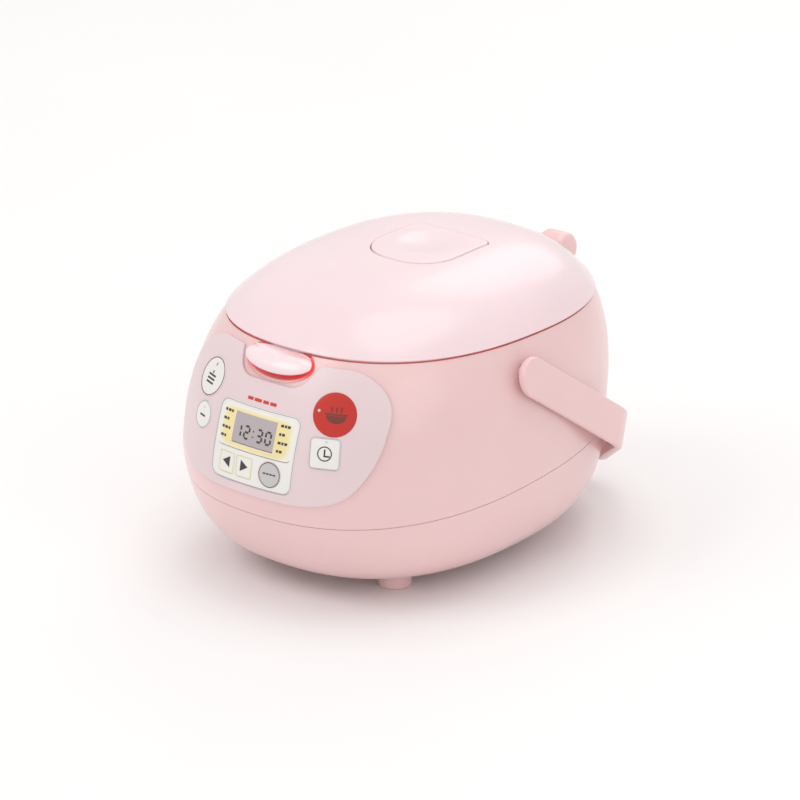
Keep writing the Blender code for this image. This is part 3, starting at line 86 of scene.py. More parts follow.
POT_Y = 0.012
POT_RADIUS = 0.080
POT_WALL = 0.0018
POT_RIM_RADIUS = 0.0905
POT_RIM_Z = 0.154
POT_BOTTOM_Z = 0.058
POT_CORNER = 0.020
DECK_TOP_Z = 0.1515
DECK_THICKNESS = 0.0025
DECK_HOLE = 0.0835
LINER_Z = (0.158, 0.1602)
GASKET_Z = (0.1544, 0.1576)
INNER_LID_Z = (0.1558, 0.1572)
INNER_LID_RADIUS = 0.0835

STEAM_HALF_WIDTH = 0.030
STEAM_FRONT_Y = -0.002
STEAM_REAR_Y = 0.062
STEAM_CENTRE = (0.0, 0.036)
STEAM_SPIGOT_RADIUS = 0.0104
STEAM_PROUD = 0.0005
STEAM_THICKNESS = 0.003
STEAM_SOFT = 0.0011
DISH_RADIUS = 0.022
DISH_DEPTH = 0.0021

HINGE_Y = 0.1435
HINGE_Z = 0.159
HINGE_RADIUS = 0.0068
HINGE_HALF_LENGTH = 0.030
HINGE_EAR = 0.006
HINGE_HOUSING_RADIUS = 0.0115
HINGE_INNER_X = 0.010
HINGE_PIN_RADIUS = 0.002
HINGE_ROOM = 0.0008
SPRING_BAY_LENGTH = 0.019
SPRING_BAY_RADIUS = 0.0050

HANDLE_Y = -0.0042
HANDLE_Z = 0.1385
HANDLE_HALF_SPAN = 0.1144
HANDLE_WIDTH = 0.0254
HANDLE_THICKNESS = 0.0048
HANDLE_DROOP = radians(35)
HANDLE_SPLAY = radians(2.6)
HANDLE_LEAN = radians(12)
HANDLE_ARM = 0.107
HANDLE_REACH = 0.187
HANDLE_GRIP_HALF = 0.058
HANDLE_BEND = 0.025
HANDLE_PIN_RADIUS = 0.004
HANDLE_HUB_RADIUS = 0.006

LATCH_RADII = (0.026, 0.0115, 0.0048)
LATCH_PLACE = (0.0, -0.1125, 0.1562)
LATCH_TILT = radians(30)
LATCH_PIN_Y = -0.097
LATCH_PIN_Z = 0.148
LATCH_PIN_RADIUS = 0.0015
LATCH_ARM_HALF_WIDTH = 0.008
SCOOP_RADII = (0.0285, 0.0145, 0.0135)
SCOOP_PLACE = (0.0, -0.1175, 0.1585)
SCOOP_SKIN = 0.0016

PANEL_LAYER = (0.0006, 0.0020)
BEZEL_LAYER = (0.0005, 0.0024)
LEGEND_LAYER = (0.0005, 0.0023)
WINDOW_LAYER = (0.0004, 0.0022)
BUTTON_LAYER = (0.0010, 0.0024)
KEY_LAYER = (0.0010, 0.0028)
PANEL_TOP_Z = 0.1565
PANEL_BOTTOM_Z = 0.0748
PANEL_HALF_WIDTH = 0.0778
PANEL_NOTCH_Z = 0.1428
BEZEL_HALF_WIDTH = 0.0314
BEZEL_Z = (0.081, 0.128)
LEGEND_HALF_WIDTH = 0.0288
LEGEND_Z = (0.1012, 0.1264)
WINDOW_X = (-0.0172, 0.0155)
WINDOW_Z = (0.105, 0.1227)
WINDOW_CORNER = 0.0004
BEZEL_CORNER = 0.006
LEGEND_CORNER = 0.0035
PLATE_ROOM = 0.0001
PANEL_CENTRE_Z = 0.085
DASH_Z = 0.1317
DIGIT_Z = 0.1122
DIGIT_HALF_WIDTH = 0.0019
DIGIT_HALF_HEIGHT = 0.0036
DIGIT_X = (-0.0120, -0.0060, 0.0030, 0.0090)
DIGIT_SPREAD = 1.12

# name: (x, z, half width, half height, corner radius, layer)
BUTTONS = {
    "cook_button": (0.049, 0.1324, 0.01365, 0.01365, 0.01365, BUTTON_LAYER),
    "keep_warm_button": (-0.0475, 0.1338, 0.01245, 0.01245, 0.01245, BUTTON_LAYER),
    "timer_button": (0.0488, 0.1098, 0.0097, 0.0097, 0.0028, BUTTON_LAYER),
    "cancel_button": (-0.0472, 0.1117, 0.0086, 0.0086, 0.0086, BUTTON_LAYER),
    "menu_button": (0.0156, 0.0914, 0.0080, 0.0080, 0.0080, KEY_LAYER),
    "hour_down_button": (-0.0185, 0.0914, 0.0062, 0.0065, 0.0012, KEY_LAYER),
    "hour_up_button": (-0.0044, 0.0914, 0.0062, 0.0065, 0.0012, KEY_LAYER),
}
BUTTON_ROOM = 0.00025
BUTTON_SOFT = 0.0004
BUTTON_STEM_RADIUS = 0.0022
PRINT = 0.00006

FOOT_X = 0.0495
FOOT_Y = 0.0605
FOOT_RADIUS = 0.0108
FOOT_TOP_Z = 0.0109
FOOT_HOLE_RADIUS = 0.0025
VENT_PITCH = 0.006
SCREW_HEAD_TOP_Z = 0.0041
INLET_Y = 0.020
INLET_Z = 0.042
INLET_DEPTH = 0.018
INLET_PIN_X = 0.0065
INLET_PIN_RADIUS = 0.0022
INLET_PROUD = 0.0012

CAMERA_AZIMUTH = radians(38.68)
CAMERA_ELEVATION = radians(21.94)
CAMERA_DISTANCE = 3.78
CAMERA_LENS = 268

# The form's frame stands this far from the world's.
SHIFT = Vector((0, JOINTS["lid_open"]["pos_m"][1] - HINGE_Y, 0))


# ---------------------------------------------------------------- outer form
def section_scale(z):
    """How wide the section at a height is, as a share of the widest one."""
    z = np.asarray(z, float)
    upper = z >= WIDEST_Z
    share = np.where(upper, (z - WIDEST_Z) / UPPER_HEIGHT, (WIDEST_Z - z) / LOWER_HEIGHT)
    power = np.where(upper, UPPER_POWER, LOWER_POWER)
    roundness = np.where(upper, UPPER_ROUND, LOWER_ROUND)
    return np.clip(1 - np.clip(share, 0, 1) ** power, 1e-12, 1) ** (1 / roundness)


def section_centre(z):
    rise = z - WIDEST_Z
    mean, half = (UPPER_DRIFT - LOWER_DRIFT) / 2, (UPPER_DRIFT + LOWER_DRIFT) / 2
    return mean * rise + half * np.sqrt(rise ** 2 + DRIFT_BLEND ** 2)


def skin_field(points):
    """Zero on the form's skin and negative inside it."""
    x, y, z = points[..., 0], points[..., 1], points[..., 2]
    scale = section_scale(z)
    back = y - section_centre(z)
    depth = np.where(back >= 0, REAR_DEPTH, FRONT_DEPTH)
    across = np.abs(x / (BODY_HALF_WIDTH * scale)) ** PLAN_EXPONENT
    return across + np.abs(back / (depth * scale)) ** PLAN_EXPONENT - 1


def skin_normal(points):
    """Unit normals that point out of the form, by central differences."""
    step = 0.00002
    slopes = []
    for axis in range(3):
        offset = np.zeros(3)
        offset[axis] = step
        slopes.append(skin_field(points + offset) - skin_field(points - offset))
    normal = np.stack(slopes, -1)
    normal[points[..., 2] > TOP_Z - 0.0002] = (0, 0, 1)
    return normal / np.linalg.norm(normal, axis=-1, keepdims=True)


def ring(level, slope=0.0, out=0.0, count=RING_POINTS):
    """The form's outline on the plane z = level + slope * y, moved out along its normals."""
    angle = np.arange(count) * 2 * pi / count
    bend = 2 / PLAN_EXPONENT
    across = np.sign(np.cos(angle)) * np.abs(np.cos(angle)) ** bend
    back = np.sign(np.sin(angle)) * np.abs(np.sin(angle)) ** bend
    depth = np.where(back >= 0, REAR_DEPTH, FRONT_DEPTH)
    z = np.full(count, float(level))
    for _ in range(6):
        scale = section_scale(z)
        y = section_centre(z) + depth * scale * back
        z = level + slope * y
    points = np.stack((BODY_HALF_WIDTH * scale * across, y, z), -1)
    return points + skin_normal(points) * out


def upper_height(scale):
    """The height above the widest level where the section has a given scale."""
    return WIDEST_Z + UPPER_HEIGHT * (1 - scale ** UPPER_ROUND) ** (1 / UPPER_POWER)


def dome_z(x, y):
    """The height of the lid's top surface over a plan position, found by halving."""
    low = np.full(np.shape(x), WIDEST_Z)
    high = np.full(np.shape(x), TOP_Z)
    for _ in range(40):
        middle = (low + high) / 2
        inside = skin_field(np.stack((x, y, middle), -1)) < 0
        low, high = np.where(inside, middle, low), np.where(inside, high, middle)
    return low


def on_skin(place, u, v, height):
    """Points at (u, v) in a frame that faces the skin, lifted off the skin by a height."""
    turn = np.array(place.to_3x3())
    flat = np.stack((u, v, np.zeros_like(u)), -1) @ turn.T + np.array(place.translation)
    low, high = np.full(len(flat), -0.05), np.full(len(flat), 0.05)
    for _ in range(40):
        middle = (low + high) / 2
        inside = skin_field(flat + middle[:, None] * turn[:, 2]) < 0
        low, high = np.where(inside, middle, low), np.where(inside, high, middle)
    points = flat + low[:, None] * turn[:, 2]
    return points + skin_normal(points) * np.reshape(height, (-1, 1))


def front_frame(x, z):
    """A frame on the front skin: local Z points out, local Y points up."""
    spot = on_skin(FRONT, np.array([x]), np.array([z]), 0.0)[0]
    out = Vector(skin_normal(spot))
    across = Vector((0, 0, 1)).cross(out).normalized()
    turn = Matrix((across, out.cross(across), out)).transposed().to_4x4()
    return Matrix.Translation(spot) @ turn


FRONT = Matrix.Translation((0, -0.13, 0)) @ Matrix.Rotation(radians(90), 4, "X")


# ---------------------------------------------------------------- outlines
def rounded_outline(corners, steps=10):
    """A closed outline from (x, y, radius) corners, counter-clockwise."""
    points = []
    for i, (x, y, radius) in enumerate(corners):
        corner = Vector((x, y))
        before = (Vector(corners[i - 1][:2]) - corner).normalized()
        after = (Vector(corners[(i + 1) % len(corners)][:2]) - corner).normalized()
        half = before.angle(after) / 2
        centre = corner + (before + after).normalized() * (radius / sin(half))
        start = corner + before * (radius / tan(half)) - centre
        sweep = start.angle_signed(corner + after * (radius / tan(half)) - centre)
        for step in range(steps + 1):
            points.append(centre + Matrix.Rotation(-sweep * step / steps, 2) @ start)
    return np.array([tuple(point) for point in points])


def at_height(flat, z):
    """Plan points raised to one height, or to a height each."""
    return np.column_stack((flat, np.broadcast_to(z, len(flat))))


def circle(radius, centre=(0.0, 0.0), count=72):
    angle = np.arange(count) * 2 * pi / count
    return np.stack((centre[0] + radius * np.cos(angle), centre[1] + radius * np.sin(angle)), -1)


def box_outline(half_width, half_height, radius, centre=(0.0, 0.0), steps=8):
    if radius > 0.99 * min(half_width, half_height):
        return circle(radius, centre)
    x, y = centre
    return rounded_outline([
        (x - half_width, y - half_height, radius), (x + half_width, y - half_height, radius),
        (x + half_width, y + half_height, radius), (x - half_width, y + half_height, radius),
    ], steps)


def resample(outline, step):
    """The same outline with its long straight runs divided."""
    points = []
    for a, b in zip(outline, np.roll(outline, -1, 0)):
        pieces = max(1, int(np.ceil(np.linalg.norm(b - a) / step)))
        points += [a + (b - a) * i / pieces for i in range(pieces)]
    return np.array(points)


def inset(outline, distance):
    """A counter-clockwise outline moved in along its own normals."""
    ahead = np.roll(outline, -1, 0) - outline
    ahead /= np.maximum(np.linalg.norm(ahead, axis=1, keepdims=True), 1e-9)
    along = ahead + np.roll(ahead, 1, 0)
    along /= np.maximum(np.linalg.norm(along, axis=1, keepdims=True), 1e-9)
    return outline + np.stack((-along[:, 1], along[:, 0]), -1) * distance


# ---------------------------------------------------------------- meshes
def close_up(bm):
    """Turn the faces of a closed mesh outwards and make it a mesh."""
    bmesh.ops.recalc_face_normals(bm, faces=bm.faces)
    if bm.calc_volume(signed=True) < 0:
        bmesh.ops.reverse_faces(bm, faces=bm.faces)
    mesh = bpy.data.meshes.new("piece")
    bm.to_mesh(mesh)
    bm.free()
    return mesh


def loft(rings, first=None, last=None, loop=False):
    """A closed mesh through rings of equal length, ending in poles or in its own start."""
    count = len(rings[0])
    points = [tuple(point) for line in rings for point in line]
    spans = [(i, i + 1) for i in range(len(rings) - 1)]
    if loop:
        spans.append((len(rings) - 1, 0))
    faces = []
    for a, b in spans:
        for i in range(count):
            j = (i + 1) % count
            faces.append((a * count + i, a * count + j, b * count + j, b * count + i))
    for pole, row in ((first, 0), (last, len(rings) - 1)):
        if pole is not None:
            points.append(tuple(pole))
            for i in range(count):
                faces.append((row * count + i, row * count + (i + 1) % count, len(points) - 1))
    mesh = bpy.data.meshes.new("loft")
    mesh.from_pydata(points, [], faces)
    bm = bmesh.new()
    bm.from_mesh(mesh)
    bpy.data.meshes.remove(mesh)
    return close_up(bm)


def turned(profile, centre=(0.0, 0.0), count=96):
    """A closed mesh turned about a vertical axis from (radius, z) points."""
    rings, poles = [], []
    for radius, z in profile:
        if radius < 1e-6:
            poles.append((*centre, z))
            continue
        rings.append(at_height(circle(radius, centre, count), z))
    if len(poles) == 2:
        return loft(rings, poles[0], poles[1])
    return loft(rings, loop=True)


def soft_profile(points, radius, steps=4):
    """A (radius, z) outline with its corners rounded, for a turned piece."""
    out = []
    for i, point in enumerate(points):
        x, z = point[:2]
        soft = point[2] if len(point) > 2 else radius
        corner = Vector((x, z))
        before = Vector(points[i - 1][:2]) - corner
        after = Vector(points[(i + 1) % len(points)][:2]) - corner
        if x < 1e-6 or soft <= 0:
            out.append((x, z))
            continue
        reach = min(soft, before.length * 0.45, after.length * 0.45)
        a, b = corner + before.normalized() * reach, corner + after.normalized() * reach
        for step in range(steps + 1):
            t = step / steps
            out.append(tuple(a * (1 - t) ** 2 + corner * 2 * t * (1 - t) + b * t ** 2))
    return out


def soft_box(low, high, soft, steps=3):
    """A box with rounded edges."""
    bm = bmesh.new()
    bmesh.ops.create_cube(bm, size=1)
    bmesh.ops.scale(bm, vec=Vector(high) - Vector(low), verts=bm.verts)
    bmesh.ops.translate(bm, vec=(Vector(high) + Vector(low)) / 2, verts=bm.verts)
    if soft > 0:
        bmesh.ops.bevel(
            bm, geom=list(bm.edges), offset=soft, segments=steps, profile=0.5, affect="EDGES"
        )
    return close_up(bm)


def soft_rod(radius, start, end, soft=0.0, count=48):
    """A cylinder between two points with rounded ends."""
    start, end = Vector(start), Vector(end)
    length = (end - start).length
    profile = soft_profile([(0, 0), (radius, 0), (radius, length), (0, length)], soft)
    mesh = turned(profile, (0, 0), count)
    turn = (end - start).to_track_quat("Z", "Y").to_matrix().to_4x4()
    mesh.transform(Matrix.Translation(start) @ turn)
    return mesh


def cross_rod(radius, low, high, y, z, soft=0.0, count=48):
    """A rod that runs across the cooker, from one x to another."""
    return soft_rod(radius, (low, y, z), (high, y, z), soft, count)


def ellipsoid(radii, place, tilt=0.0, rings=48, count=96):
    lines = []
    for angle in [pi * i / rings for i in range(1, rings)]:
        lines.append(at_height(circle(sin(angle), (0, 0), count), -cos(angle)))
    mesh = loft(lines, (0, 0, -1), (0, 0, 1))
    turn = Matrix.Translation(place) @ Matrix.Rotation(tilt, 4, "X")
    mesh.transform(turn @ Matrix.Diagonal((*radii, 1)))
    return mesh


def prism(outline, low, high, place=Matrix.Identity(4)):
    """A flat outline extruded along the Z of a frame."""
    middle = outline.mean(0)
    rings = [at_height(outline, z) for z in (low, high)]
    mesh = loft(rings, (*middle, low), (*middle, high))
    mesh.transform(place)
    return mesh


def plate(outline, place, low, high, soft=0.0, crown=0.0, centre=(0.0, 0.0), rows=8, step=0.0012):
    """A plate that follows the skin, with a rounded upper edge and a slight crown."""
    outline = resample(outline, step)
    centre = np.array(centre)
    rings = []

    def add_ring(line, height):
        rings.append(on_skin(place, line[:, 0], line[:, 1], np.full(len(line), height)))

    for share in (0.4, 1.0):
        add_ring(centre + (outline - centre) * share, low)
    for turn in range(5 if soft else 0):
        angle = pi / 2 * turn / 4
        add_ring(inset(outline, soft * (1 - cos(angle))), high - soft + soft * sin(angle))
    top = inset(outline, soft)
    for row in range(0 if not soft else 1, rows):
        share = 1 - row / rows
        add_ring(centre + (top - centre) * share, high + crown * (1 - share ** 2))
    poles = on_skin(place, np.array([centre[0]] * 2), np.array([centre[1]] * 2), [low, high + crown])
    return loft(rings, poles[0], poles[1])


def combine(mesh, tools, operation="DIFFERENCE"):
    """Cut, join or trim a closed mesh with others."""
    things = [bpy.data.objects.new("shape", each) for each in [mesh, *tools]]
    for thing in things:
        bpy.context.scene.collection.objects.link(thing)
    for tool in things[1:]:
        modifier = things[0].modifiers.new("combine", "BOOLEAN")
        modifier.operation = operation
        modifier.solver = "EXACT"
        modifier.object = tool
    bpy.context.view_layer.update()
    depsgraph = bpy.context.evaluated_depsgraph_get()
    result = bpy.data.meshes.new_from_object(things[0].evaluated_get(depsgraph))
    for thing in things:
        bpy.data.objects.remove(thing, do_unlink=True)
    return result


def together(parts):
    """Several closed meshes as one, each with its own material index."""
    bm = bmesh.new()
    for mesh, index in parts:
        known = len(bm.faces)
        bm.from_mesh(mesh)
        bm.faces.ensure_lookup_table()
        for face in bm.faces[known:]:
            face.material_index = index
    mesh = bpy.data.meshes.new("piece")
    bm.to_mesh(mesh)
    bm.free()
    return mesh


def corner_array(mesh):
    """Positions of all face corners, and the face that each belongs to."""
    points = np.empty(len(mesh.vertices) * 3)
    mesh.vertices.foreach_get("co", points)
    vertex = np.empty(len(mesh.loops), np.int32)
    mesh.loops.foreach_get("vertex_index", vertex)
    sides = np.empty(len(mesh.polygons), np.int32)
    mesh.polygons.foreach_get("loop_total", sides)
    return points.reshape(-1, 3)[vertex], np.repeat(np.arange(len(sides)), sides)


def shade(mesh, sharp=35, skin=False):
    """Smooth shading; faces that follow the form take the form's own normals."""
    mesh.shade_smooth()
    mesh.set_sharp_from_angle(angle=radians(sharp))
    if not skin:
        return
    corners, owner = corner_array(mesh)
    centre = np.empty(len(mesh.polygons) * 3)
    mesh.polygons.foreach_get("center", centre)
    facing = np.empty(len(mesh.polygons) * 3)
    mesh.polygons.foreach_get("normal", facing)
    agree = (skin_normal(centre.reshape(-1, 3)) * facing.reshape(-1, 3)).sum(1)
    sign = np.where(agree > cos(radians(11)), 1, np.where(agree < -cos(radians(11)), -1, 0))
    mesh.normals_split_custom_set((skin_normal(corners) * sign[owner][:, None]).tolist())


def add(name, mesh, materials, body, nodes=(), sharp=35, skin=False):
    """Make a visible piece from a mesh in the form's frame and tie it to the CAD."""
    mesh.name = name
    if mesh.materials:
        mesh.materials.clear()
    for material in materials if isinstance(materials, (list, tuple)) else [materials]:
        mesh.materials.append(material)
    shade(mesh, sharp, skin)
    mesh.transform(Matrix.Translation(SHIFT))
    obj = bpy.data.objects.new(name, mesh)
    bpy.context.scene.collection.objects.link(obj)
    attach(obj, body)
    if nodes:
        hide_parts(*nodes)
    return obj


def paint(mesh, name, values):
    """Store one number per vertex for a material to read."""
    layer = mesh.attributes.new(name, "FLOAT", "POINT")
    layer.data.foreach_set("value", np.asarray(values, np.float32))


def vertex_array(mesh):
    points = np.empty(len(mesh.vertices) * 3)
    mesh.vertices.foreach_get("co", points)
    return points.reshape(-1, 3)


# ---------------------------------------------------------------- materials
class Finish:
    """A node material whose texture follows the object it is on."""

    def __init__(self, name, roughness, metallic=0.0, coat=0.0):
        self.material = bpy.data.materials.new(name)
        self.material.use_nodes = True
        self.tree = self.material.node_tree
        self.shader = self.tree.nodes["Principled BSDF"]
        self.shader.inputs["Metallic"].default_value = metallic
        self.shader.inputs["Coat Weight"].default_value = coat
        self.shader.inputs["Coat Roughness"].default_value = 0.12
        self.link = self.tree.links.new
        self.place = self.node("TexCoord").outputs["Object"]
        self.roughness = roughness

    def node(self, kind):
        return self.tree.nodes.new("ShaderNode" + kind)

    def noise(self, scale, detail=3.0, stretch=(1, 1, 1)):
        mapping = self.node("Mapping")
        mapping.inputs["Scale"].default_value = stretch
        self.link(self.place, mapping.inputs["Vector"])
        node = self.node("TexNoise")
        node.inputs["Scale"].default_value = scale
        node.inputs["Detail"].default_value = detail
        self.link(mapping.outputs["Vector"], node.inputs["Vector"])
        return node.outputs["Fac"]

    def ramp(self, source, stops, target=None):
        """Colours by factor, linked to a socket if one is given."""
        node = self.node("ValToRGB")
        while len(node.color_ramp.elements) < len(stops):
            node.color_ramp.elements.new(0.5)
        for element, (place, colour) in zip(node.color_ramp.elements, stops):
            element.position = place
            element.color = (*colour, 1)
        self.link(source, node.inputs["Fac"])
        if target is not None:
            self.link(node.outputs["Color"], target)
        return node.outputs["Color"]

    def mix(self, first, second, amount, target):
        node = self.node("Mix")
        node.data_type = "RGBA"
        self.link(first, node.inputs["A"])
        self.link(second, node.inputs["B"])
        self.link(amount, node.inputs["Factor"])
        self.link(node.outputs["Result"], target)

    def attribute(self, name):
        node = self.node("Attribute")
        node.attribute_name = name
        return node.outputs["Fac"]

    def rough(self, scale, spread):
        node = self.node("MapRange")
        node.inputs["To Min"].default_value = self.roughness - spread
        node.inputs["To Max"].default_value = self.roughness + spread
        self.link(self.noise(scale), node.inputs["Value"])
        self.link(node.outputs["Result"], self.shader.inputs["Roughness"])

    def bump(self, source, strength, distance):
        node = self.node("Bump")
        node.inputs["Strength"].default_value = strength
        node.inputs["Distance"].default_value = distance
        self.link(source, node.inputs["Height"])
        self.link(node.outputs["Normal"], self.shader.inputs["Normal"])

    def scatter(self, weight, radius, scale):
        self.shader.inputs["Subsurface Weight"].default_value = weight
        self.shader.inputs["Subsurface Radius"].default_value = radius
        self.shader.inputs["Subsurface Scale"].default_value = scale


def shift_colour(colour, amount):
    return tuple(min(1.0, max(0.0, value * (1 + amount))) for value in colour)


def plastic(name, colour, roughness, variation=0.025, grain=700.0, depth=0.00004,
            coat=0.0, glow=0.0, tint_and_painted_shade=None, painted_glow=0.0):
    """Moulded plastic: slight flow marks in its colour, uneven gloss and a fine grain.

    The pair (colour, attribute name) gives the colour that the plastic turns to where the attribute
    is 1: a real yellow tint on the legend film, painted shade on the latch pieces.
    The number after it is the strength of a painted glow: emission in that colour where the
    attribute is 1.
    """
    finish = Finish(name, roughness, 0.0, coat)
    stops = [(0.3, shift_colour(colour, -variation)), (0.7, shift_colour(colour, variation))]
    base = finish.shader.inputs["Base Color"]
    if tint_and_painted_shade is None:
        finish.ramp(finish.noise(14.0), stops, base)
    else:
        plain = finish.ramp(finish.noise(14.0), stops)
        # The mask's colour: a real tint on the legend film, painted shade on the latch pieces.
        painted_shade_and_tint = finish.ramp(finish.noise(40.0), [
            (0.3, shift_colour(tint_and_painted_shade[0], -0.05)), (0.7, shift_colour(tint_and_painted_shade[0], 0.05)),
        ])
        share = finish.attribute(tint_and_painted_shade[1])
        finish.mix(plain, painted_shade_and_tint, share, base)
        # Painted glow: emission in the mask's colour where the mask is 1.
        if painted_glow:
            strength = finish.node("Math")
            strength.operation = "MULTIPLY"
            strength.inputs[1].default_value = painted_glow
            finish.link(share, strength.inputs[0])
            finish.link(strength.outputs[0], finish.shader.inputs["Emission Strength"])
            finish.link(painted_shade_and_tint, finish.shader.inputs["Emission Color"])
    finish.rough(55.0, 0.035)
    finish.bump(finish.noise(grain, 4.0), 0.25, depth)
    if glow:
        finish.scatter(glow, (1.0, 0.32, 0.28), 0.004)
    return finish.material


def metal(name, colour, roughness, stretch=(1, 1, 1), scratch=260.0):
    """Brushed or pressed metal with drawn lines along one direction."""
    finish = Finish(name, roughness, 1.0)
    lines = finish.noise(scratch, 5.0, stretch)
    finish.ramp(lines, [
        (0.25, shift_colour(colour, -0.08)), (0.75, shift_colour(colour, 0.06)),
    ], finish.shader.inputs["Base Color"])
    finish.rough(80.0, 0.06)
    finish.bump(lines, 0.2, 0.00003)
    return finish.material


def ink(name, colour):
    """Pad-printed ink: dense colour with slightly broken coverage."""
    finish = Finish(name, 0.5)
    finish.ramp(finish.noise(2600.0), [
        (0.2, shift_colour(colour, 0.18)), (0.7, shift_colour(colour, -0.08)),
    ], finish.shader.inputs["Base Color"])
    finish.rough(900.0, 0.05)
    return finish.material


def circuit_board():
    """Green board with paler tracks."""
    finish = Finish("board_green", 0.42)
    tracks = finish.node("TexBrick")
    tracks.inputs["Scale"].default_value = 160.0
    tracks.inputs["Color1"].default_value = (0.03, 0.17, 0.07, 1)
    tracks.inputs["Color2"].default_value = (0.035, 0.20, 0.08, 1)
    tracks.inputs["Mortar"].default_value = (0.10, 0.34, 0.14, 1)
    finish.link(finish.place, tracks.inputs["Vector"])
    finish.link(tracks.outputs["Color"], finish.shader.inputs["Base Color"])
    finish.rough(300.0, 0.05)
    finish.bump(tracks.outputs["Fac"], 0.3, 0.00005)
    return finish.material


def pot_coating():
    """Dark non-stick coating with fine pale flecks."""
    finish = Finish("pot_coating_dark", 0.38)
    flecks = finish.noise(1500.0, 2.0)
    finish.ramp(flecks, [
        (0.0, (0.055, 0.055, 0.058)), (0.62, (0.075, 0.075, 0.08)), (0.72, (0.22, 0.22, 0.23)),
    ], finish.shader.inputs["Base Color"])
    finish.rough(120.0, 0.05)
    finish.bump(flecks, 0.25, 0.00004)
    return finish.material


PINK = (0.85, 0.585, 0.585)
# Red of the painted shade and painted glow in the latch hollow, and of the painted shade on the lens
# under the lid rim.
PAINTED_SHADE_RED = (0.86, 0.075, 0.065)
SHELL = plastic("pink_shell_gloss", PINK, 0.30, coat=0.35, glow=0.12)
# The lid's pink is paler than the body's as painted top light and reflection from the lamps above.
LID_PAINTED_TOP_LIGHT = plastic("pink_lid_painted_top_light", (0.885, 0.70, 0.73), 0.30, coat=0.4, glow=0.12)
# Shell pink with painted shade: strong red where the mask is 1, with a painted glow of that red.
SHELL_PAINTED_SHADE = plastic("pink_shell_painted_shade", PINK, 0.34, coat=0.1, glow=0.3, tint_and_painted_shade=(PAINTED_SHADE_RED, "painted_shade_and_tint"),
                     painted_glow=0.28)
# Coral red in the lid seam: painted shade that stands for the reddish light in the gap.
SEAM_PAINTED_SHADE = plastic("seam_painted_red_shade", (0.78, 0.16, 0.14), 0.5, variation=0.05, glow=0.2)
PANEL = plastic("panel_lilac", (0.79, 0.635, 0.655), 0.36, coat=0.15, glow=0.06)
WHITE = plastic("white_satin", (0.84, 0.825, 0.80), 0.36, coat=0.1)
# The lens's pale pink, paler than the shell pink, is painted top light; its mask colour is painted
# shade at its rear and top, under the lid rim.
LENS = plastic("latch_lens", (0.92, 0.76, 0.79), 0.24, coat=0.5, glow=0.15, tint_and_painted_shade=(PAINTED_SHADE_RED, "painted_shade_and_tint"))
RED = plastic("red_cap", (0.56, 0.024, 0.016), 0.32, variation=0.05, coat=0.15)
CREAM = plastic("cream_film", (0.86, 0.845, 0.80), 0.42, grain=1600.0,
                tint_and_painted_shade=((0.89, 0.76, 0.38), "tint"))
SILVER = plastic("silver_cap", (0.56, 0.545, 0.545), 0.34, variation=0.04, grain=1800.0, coat=0.2)
GREY = plastic("grey_moulding", (0.16, 0.16, 0.17), 0.5, variation=0.06)
BLACK = plastic("black_moulding", (0.022, 0.022, 0.024), 0.46, variation=0.1)
SILICONE = plastic("silicone_seal", (0.70, 0.67, 0.64), 0.6, variation=0.04, grain=1200.0, glow=0.1)
STEEL = metal("steel_plain", (0.60, 0.60, 0.62), 0.28, (1, 1, 12))
ALUMINIUM = metal("aluminium_cast", (0.76, 0.76, 0.77), 0.34, (1, 10, 1))
COATING = pot_coating()
BOARD = circuit_board()
DISPLAY = plastic("display_grey", (0.46, 0.40, 0.415), 0.16, variation=0.03, grain=3000.0,
                  depth=0.00001, coat=0.8)
INK_DARK = ink("ink_dark", (0.045, 0.040, 0.038))
INK_BROWN = ink("ink_brown", (0.17, 0.035, 0.022))
INK_GREY = ink("ink_grey", (0.44, 0.41, 0.43))
INK_RED = ink("ink_red", (0.62, 0.045, 0.03))
INK_YELLOW = ink("ink_yellow", (0.86, 0.80, 0.42))
INK_PALE = ink("ink_pale", (0.62, 0.60, 0.56))


# ---------------------------------------------------------------- shells
def fillet(level, slope, out, radius, side, steps=4):
    """Rings round the outer corner of a seam edge; side is 1 above the seam, -1 below."""
    rings = []
    for step in range(steps + 1):
        angle = pi / 2 * step / steps
        rise = side * radius * (1 - cos(angle))
        rings.append(ring(level + rise, slope, out - radius + radius * sin(angle)))
    return rings


def overhang(rise):
    """How far the lid stands out over the body, fading above its rim."""
    share = min(max(rise / OVERHANG_FADE, 0.0), 1.0)
    return LID_OVERHANG * (1 - share * share * (3 - 2 * share))


def steam_outline(grow=0.0, steps=14):
    side = STEAM_HALF_WIDTH + grow
    front, rear = STEAM_FRONT_Y - grow, STEAM_REAR_Y + grow
    return rounded_outline([
        (-side, front, 0.026), (side, front, 0.026), (side, rear, 0.006), (-side, rear, 0.006),
    ], steps)


def steam_hole():
    """The recess for the steam cap, flared to a soft edge where it meets the dome."""
    floor = 0.165
    outline = resample(steam_outline(CLEARANCE), 0.0015)
    surface = dome_z(outline[:, 0], outline[:, 1])
    rings = [at_height(outline, floor)]
    for step in range(5):
        angle = radians(72) * step / 4
        wide = inset(outline, -STEAM_SOFT * (1 - cos(angle)))
        rings.append(at_height(wide, surface - STEAM_SOFT * (1 - sin(angle))))
    rings.append(rings[-1] + np.array((0, 0, 0.02)))
    return loft(rings, (*STEAM_CENTRE, floor), (*STEAM_CENTRE, TOP_Z + 0.02))


def hinge_span(radius, low, high, soft=0.0):
    return cross_rod(radius, low, high, HINGE_Y, HINGE_Z, soft, 64)


def hinge_clearance():
    """The room that every shell leaves round the hinge barrel."""
    end, middle = HINGE_HALF_LENGTH + 0.001, HINGE_INNER_X - 0.001
    slim = hinge_span(HINGE_RADIUS + HINGE_ROOM, -end, middle + 0.001)
    return combine(slim, [hinge_span(HINGE_HOUSING_RADIUS + HINGE_ROOM, middle, end)], "UNION")


